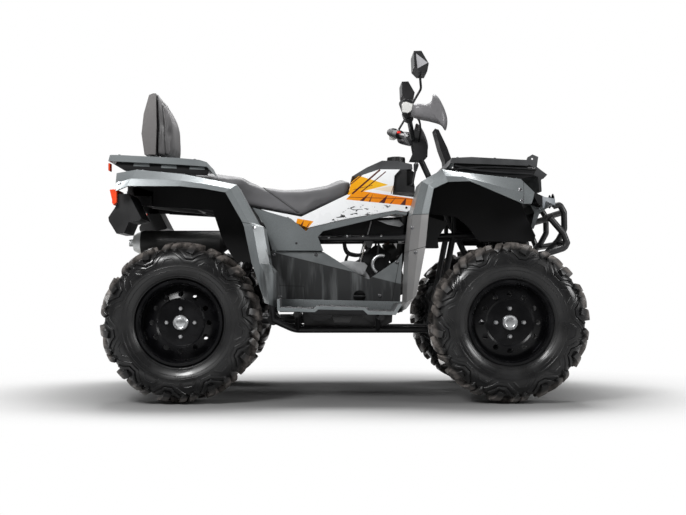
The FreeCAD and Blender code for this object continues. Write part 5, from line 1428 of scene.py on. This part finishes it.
# lamps
BEZEL_RING = ((-1, 28), (1.5, 28), (2.4, 26.5), (2.4, 24.5), (-1, 23.5))
EYE_DOME = ((-1, 23.5), (0.5, 22.5), (2.0, 17), (3.0, 9), (3.2, 2))
LAMP_HEIGHT = 809
MARK_PLACE, MARK_SIZE = (-940, -398, 936), (46, 30, 6)
TAIL_RIB_SIZE = (46, 3, 2)

lamp = Surface("headlights")
bezels = Shape()
eyes = Shape()
for y in (-292, -352):
    found = lamp.front(y, LAMP_HEIGHT)
    if found:
        bezels.lathe(BEZEL_RING, found[0], X_WAY, 40)
        eyes.lathe(EYE_DOME, found[0], X_WAY, 36)
bezels.mirrored().piece("headlight_bezels", "chassis", GLOSS_BLACK, "black_plastic")
eyes.mirrored().piece("headlight_eyes", "chassis", EYE, "lamp_glass")
red_marks = Shape()
bar(red_marks, MARK_PLACE, Y_WAY, -X_WAY, MARK_SIZE)
red_marks.mirrored().piece("rack_reflectors", "chassis", RED, "red_lens")
tail = Surface("tail_lights")
tail_ribs = Shape()
for y in (-470, -448, -426, -404):
    found = tail.back(y, LAMP_HEIGHT)
    if found:
        bar(tail_ribs, found[0], Z_WAY, found[1], TAIL_RIB_SIZE)
tail_ribs.mirrored().piece("tail_light_ribs", "chassis", RED, "red_lens")

# handlebar fittings, all on the steering
SIDE_BUTTON_SIZE, BACK_BUTTON_SIZE = (16, 10, 6), (22, 11, 6)
KNOB = ((-1, 5.0), (4, 5.0), (6, 3.8), (6, 1.5))
PANE_LOW, PANE_MIDDLE, PANE_HIGH = 1352, 1380, 1402
PANE_EDGE = 5
PANE_STEP = 4

switch = Surface("controls")
buttons = Shape()
for found in [switch.hit((262, 100, z), Y_WAY) for z in (1157, 1170)]:
    if found:
        bar(buttons, found[0], X_WAY, -Y_WAY, SIDE_BUTTON_SIZE)
for found in [switch.back(-338, z) for z in (1158, 1174)]:
    if found:
        bar(buttons, found[0], Y_WAY, -X_WAY, BACK_BUTTON_SIZE)
buttons.piece("red_buttons", "steering", BUTTON, "red_lens", 30)
knobs = Shape()
for y, z in ((-318, 1160), (-318, 1174), (322, 1158), (322, 1174), (340, 1166)):
    found = switch.back(y, z)
    if found:
        knobs.lathe(KNOB, found[0], -X_WAY, 18)
knobs.piece("switch_knobs", "steering", ALLOY, "axle_steel")

mirror = Surface("mirrors")
panes = Shape()
for side, sign in SIDES:
    outer = sign * (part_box("mirrors")[1][1] / MM - PANE_EDGE)
    inner = outer
    while mirror.back(inner - sign * PANE_STEP, PANE_MIDDLE):
        inner -= sign * PANE_STEP
    skin(panes, mirror.back, box_corners(outer, inner + sign * PANE_EDGE, PANE_LOW, PANE_HIGH), 1.0, (10, 6))
panes.piece("mirror_panes", "steering", GLASS, "lamp_glass")

screen = Shape()
skin(screen, Surface("steering_pod").back, box_corners(-34, 34, 1084, 1124), 1.4, (8, 6))
screen.piece("display_glass", "steering", SCREEN, "lamp_glass")

# hand guards: domed cups on an arm from the bar
GUARD_OUTLINE = [
    (264, 1168), (270, 1189), (295, 1195), (328, 1194), (349, 1208), (356, 1234), (376, 1222), (396, 1187),
    (410, 1148), (413, 1118), (405, 1088), (386, 1110), (341, 1124), (306, 1131), (272, 1143),
]
GUARD_MIDDLE = (338, 1162)
# shares of the outline, from the middle of the outer face over the rim to the inner one, and how far out
GUARD_DOME = (
    (0.02, 435.5), (0.3, 434.6), (0.6, 430.0), (0.8, 422.0), (0.93, 409.0), (0.985, 396.5), (1.0, 396.0),
    (1.0, 402.0), (0.985, 410.0), (0.95, 418.0), (0.87, 426.5), (0.72, 433.0), (0.5, 437.2), (0.25, 439.2),
    (0.02, 439.6),
)
GUARD_ARM = [(300, -425, 1152), (296, -395, 1150), (286, -340, 1158), (270, -300, 1166)]
GUARD_ARM_RADIUS = 6.5

guard = Shape()
rim = curve_through([(x, 0, z) for x, z in GUARD_OUTLINE], 5, True)
middle = Vector((GUARD_MIDDLE[0], 0, GUARD_MIDDLE[1]))
guard.barrel([[middle + (p - middle) * share - Y_WAY * out for p in rim] for share, out in GUARD_DOME])
guard.tube(curve_through(GUARD_ARM, 6), GUARD_ARM_RADIUS, 12)
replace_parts(guard.mirrored().piece("hand_guard_cups", "steering", GUARD, "grey_plastic", 50), "hand_guards")

# flat pieces, alike on both sides: slot, outer and inner depth, bevel, outlines of X and Z
PLATES = (
    ("mirror_facets", "steering", PALE, "axle_steel", -408.2, -406, 0.6, [
        [(286, 1399), (334, 1361), (292, 1338)],
    ]),
    ("bar_ends", "steering", BRIGHT, "axle_steel", -422, -402, 4.0, [
        [(229, 1160), (227, 1190), (236, 1204), (262, 1205), (272, 1192), (268, 1166), (252, 1156)],
    ]),
    ("bar_end_caps", "steering", GLOSS_BLACK, "black_plastic", -424, -400, 2.0, [
        [(234, 1198), (233, 1208), (243, 1213), (262, 1210), (274, 1197), (268, 1192), (246, 1201)],
    ]),
    ("rack_side_panels", "chassis", LINER, "black_plastic", -424, -419, 1.5, [
        [(-918, 944), (-880, 921), (-820, 914), (-690, 908), (-548, 902), (-546, 930), (-575, 950),
         (-700, 958), (-905, 966)],
        [(432, 930), (436, 952), (560, 954), (740, 948), (770, 930), (752, 900), (690, 888), (560, 900),
         (470, 914)],
    ]),
    ("rack_inserts", "chassis", TRIM_GREY, "grey_plastic", -426, -423, 1.0, [
        [(-845, 938), (-780, 936), (-782, 951), (-842, 953)],
        [(-735, 931), (-672, 929), (-674, 943), (-733, 945)],
        [(-622, 926), (-560, 924), (-563, 936), (-620, 938)],
    ]),
    ("skirt_infills", "chassis", LINER, "black_plastic", -257, -253, 1.5, [
        [(-900, 792), (-900, 852), (-862, 872), (-790, 852), (-790, 792)],
    ]),
    ("under_seat_floors", "chassis", LINER, "black_plastic", -195, -120, 1.5, [
        [(-520, 700), (-520, 716), (-225, 716), (-225, 700)],
    ]),
    ("heel_strips", "chassis", TRIM_GREY, "grey_plastic", -236, -229, 1.5, [
        [(-270, 352), (-270, 407), (243, 396), (243, 352)],
    ]),
    ("board_rub_plates", "chassis", LINER, "black_plastic", -521.5, -512, 1.5, [
        [(-129, 352), (-107, 368), (68, 368), (86, 352), (86, 349), (-129, 349)],
    ]),
    # black panels that fill the gap under the side covers: partly inner parts, partly painted shade
    ("inner_shade_panels", "chassis", LINER, "black_plastic", -128, -122, 1.5, [
        [(-108, 655), (-104, 692), (20, 724), (150, 752), (246, 756), (256, 700), (250, 655), (160, 664),
         (0, 660)],
    ]),
    ("head_covers", "chassis", ALLOY, "engine_alloy", -137, -127, 2.5, [
        [(144, 740), (236, 745), (256, 722), (238, 712), (190, 722)],
    ]),
    ("rail_brackets", "chassis", STEEL, "black_steel", -147, -135, 1.5, [
        [(86, 656), (130, 660), (116, 622), (102, 624)],
    ]),
    ("barrel_backs", "chassis", LINER, "black_plastic", -62, -40, 1.5, [
        [(70, 520), (118, 462), (186, 520), (206, 600), (140, 640), (90, 600)],
    ]),
    ("crankcase_plates", "chassis", ALLOY, "engine_alloy", -152, -143, 3.0, [
        [(-20, 560), (17, 569), (87, 560), (101, 546), (84, 505), (24, 518)],
    ]),
    ("peg_brackets", "chassis", STEEL, "black_steel", -306, -294, 2.0, [
        [(-56, 348), (-42, 311), (20, 311), (36, 348)],
    ]),
)
for name, body, material, slot, y_out, y_in, bevel, outlines in PLATES:
    meshes = [plate(outline, y_out, y_in, bevel) for outline in outlines]
    add_piece(name, on_both_sides(meshes), body, material, 30)

# round rails, hoses and rods, alike on both sides: points around, then radius, steps and places of each
WIRE_ROUTE = [(292, -300, 1168), (312, -240, 1160), (326, -160, 1140), (330, -80, 1112), (330, -48, 1096)]
WIRE_DROP = 8
CLUTCH_X, CLUTCH_Z, CLUTCH_RADIUS = 160, 552, 38
CLUTCH_RING = [
    (CLUTCH_X + CLUTCH_RADIUS * math.cos(math.radians(turn)), -146,
     CLUTCH_Z + CLUTCH_RADIUS * math.sin(math.radians(turn))) for turn in range(70, 250, 9)
]
PIPES = (
    ("bar_wiring", "steering", LINER, "black_plastic", 8, [
        (3.4, 6, WIRE_ROUTE), (3.4, 6, [(x, y, z - WIRE_DROP) for x, y, z in WIRE_ROUTE]),
    ]),
    ("rack_under_rails", "chassis", STEEL, "black_steel", 10, [
        (5.5, 8, [(438, -427, 944), (520, -427, 926), (640, -427, 916), (752, -427, 912)]),
        (4.5, 8, [(450, -427, 930), (560, -427, 938), (690, -427, 934), (764, -427, 930)]),
    ]),
    ("breather_pipes", "chassis", LINER, "black_plastic", 10, [
        (5.5, 8, [(4, -126, 655), (10, -124, 622), (26, -122, 602), (68, -122, 595), (104, -124, 612),
                  (124, -126, 655)]),
        (4.5, 8, [(24, -122, 602), (14, -122, 580), (8, -122, 552)]),
        (5.0, 8, [(150, -124, 655), (146, -128, 600), (136, -130, 560)]),
    ]),
    ("throttle_rods", "chassis", AXLE, "axle_steel", 10, [
        (3.0, 0, [(118, -131, 738), (95, -132, 652), (70, -133, 558)]),
    ]),
    ("clutch_rings", "chassis", ALLOY, "axle_steel", 12, [(7.0, 0, CLUTCH_RING)]),
)
for name, body, material, slot, around, runs in PIPES:
    pipes = Shape()
    for radius, steps, places in runs:
        pipes.tube(curve_through(places, steps) if steps else places, radius, around)
    pipes.mirrored().piece(name, body, material, slot, 60)

# stage, light and camera, in metres

FLOOR_HALF = 30.0
# half axes of the floor's painted shadow and of its fade to white
FLOOR_REACH_X, FLOOR_REACH_Y = 1.75, 1.25
WORLD_LIGHT = 0.22
CAMERA_PLACE = (-0.0938, -4.7712, 0.4675)
CAMERA_YAW, CAMERA_PITCH = 0.019565, 0.024668
FOCAL_PX = 1089.0
PHOTO_WIDTH_PX = 686.0
LAMPS = (
    ("key", (-1.8, -3.2, 3.0), (0, 0, 0.6), (1.4, 1.0), 135),
    ("top", (0.1, 0.9, 3.8), (0, 0, 0.5), (3.0, 1.6), 250),
    ("fill", (3.4, -2.2, 1.8), (0.2, 0, 0.6), (1.2, 1.2), 50),
    ("back", (-1.5, 3.4, 2.8), (0, 0, 0.7), (2.6, 1.8), 50),
)


def camera_rays(nodes, links, share, elsewhere, seen):
    """A shader that camera rays see one way, as far as the share says, and all other rays another way."""
    rays = nodes.new("ShaderNodeLightPath").outputs["Is Camera Ray"]
    if share is not None:
        both = nodes.new("ShaderNodeMath")
        both.operation = "MULTIPLY"
        links.new(share, both.inputs[0])
        links.new(rays, both.inputs[1])
        rays = both.outputs["Value"]
    blend = nodes.new("ShaderNodeMixShader")
    for source, socket in ((rays, 0), (elsewhere, 1), (seen, 2)):
        links.new(source, blend.inputs[socket])
    return blend.outputs[0]


def stage_floor():
    """A pale floor with a painted shadow under the machine, whose far part melts into the white background.
    """
    mesh = bpy.data.meshes.new("floor")
    corners = [(-1, -1), (1, -1), (1, 1), (-1, 1)]
    mesh.from_pydata([(x * FLOOR_HALF, y * FLOOR_HALF, 0) for x, y in corners], [], [(0, 1, 2, 3)])
    floor = bpy.data.objects.new("floor", mesh)
    bpy.context.collection.objects.link(floor)
    g = Graph("floor_pale", (0.46, 0.46, 0.46), 0.95)
    along = g.math("DIVIDE", g.axis("X"), FLOOR_REACH_X)
    reach = g.length(along, g.math("DIVIDE", g.axis("Y"), FLOOR_REACH_Y))
    # painted shadow: the floor's colour is darkest under the machine and lightens outwards
    near = g.mottle(g.noise(0.8, 2.0), 0.3, 0.7, (0.150, 0.150, 0.150), (0.165, 0.165, 0.165))
    g.color(g.mottle(reach, 0.30, 1.05, near, (0.50, 0.50, 0.50)))
    white = g.nodes.new("ShaderNodeEmission")
    white.inputs["Strength"].default_value = 1.0
    far = g.span(reach, 0.66, 1.25)
    shader = camera_rays(g.nodes, g.links, far, g.shader.outputs[0], white.outputs[0])
    g.wire(shader, g.nodes["Material Output"].inputs["Surface"])
    mesh.materials.append(g.material)


def white_world():
    """White to the camera, and a soft light to everything else."""
    world = bpy.data.worlds.new("studio")
    world.use_nodes = True
    bpy.context.scene.world = world
    nodes = world.node_tree.nodes
    links = world.node_tree.links
    light = nodes["Background"]
    seen = nodes.new("ShaderNodeBackground")
    for node, strength in ((light, WORLD_LIGHT), (seen, 1.0)):
        node.inputs["Color"].default_value = (1, 1, 1, 1)
        node.inputs["Strength"].default_value = strength
    shader = camera_rays(nodes, links, None, light.outputs[0], seen.outputs[0])
    links.new(shader, nodes["World Output"].inputs["Surface"])


def soft_light(name, place, aim, size, watts):
    """A rectangular lamp that looks at a place."""
    data = bpy.data.lights.new(name, "AREA")
    data.shape = "RECTANGLE"
    data.size, data.size_y = size
    data.energy = watts
    lamp = bpy.data.objects.new(name, data)
    bpy.context.collection.objects.link(lamp)
    lamp.location = place
    lamp.rotation_euler = (Vector(aim) - Vector(place)).to_track_quat("-Z", "Y").to_euler()


def camera():
    """The photograph's camera, fitted to the two near wheels."""
    data = bpy.data.cameras.new("camera")
    data.sensor_width = 36.0
    data.lens = FOCAL_PX * data.sensor_width / PHOTO_WIDTH_PX
    view = bpy.data.objects.new("camera", data)
    bpy.context.collection.objects.link(view)
    view.location = CAMERA_PLACE
    view.rotation_euler = (math.pi / 2 + CAMERA_PITCH, 0, -CAMERA_YAW)
    bpy.context.scene.camera = view


stage_floor()
white_world()
for lamp in LAMPS:
    soft_light(*lamp)
camera()
bpy.context.scene.view_settings.view_transform = "Standard"
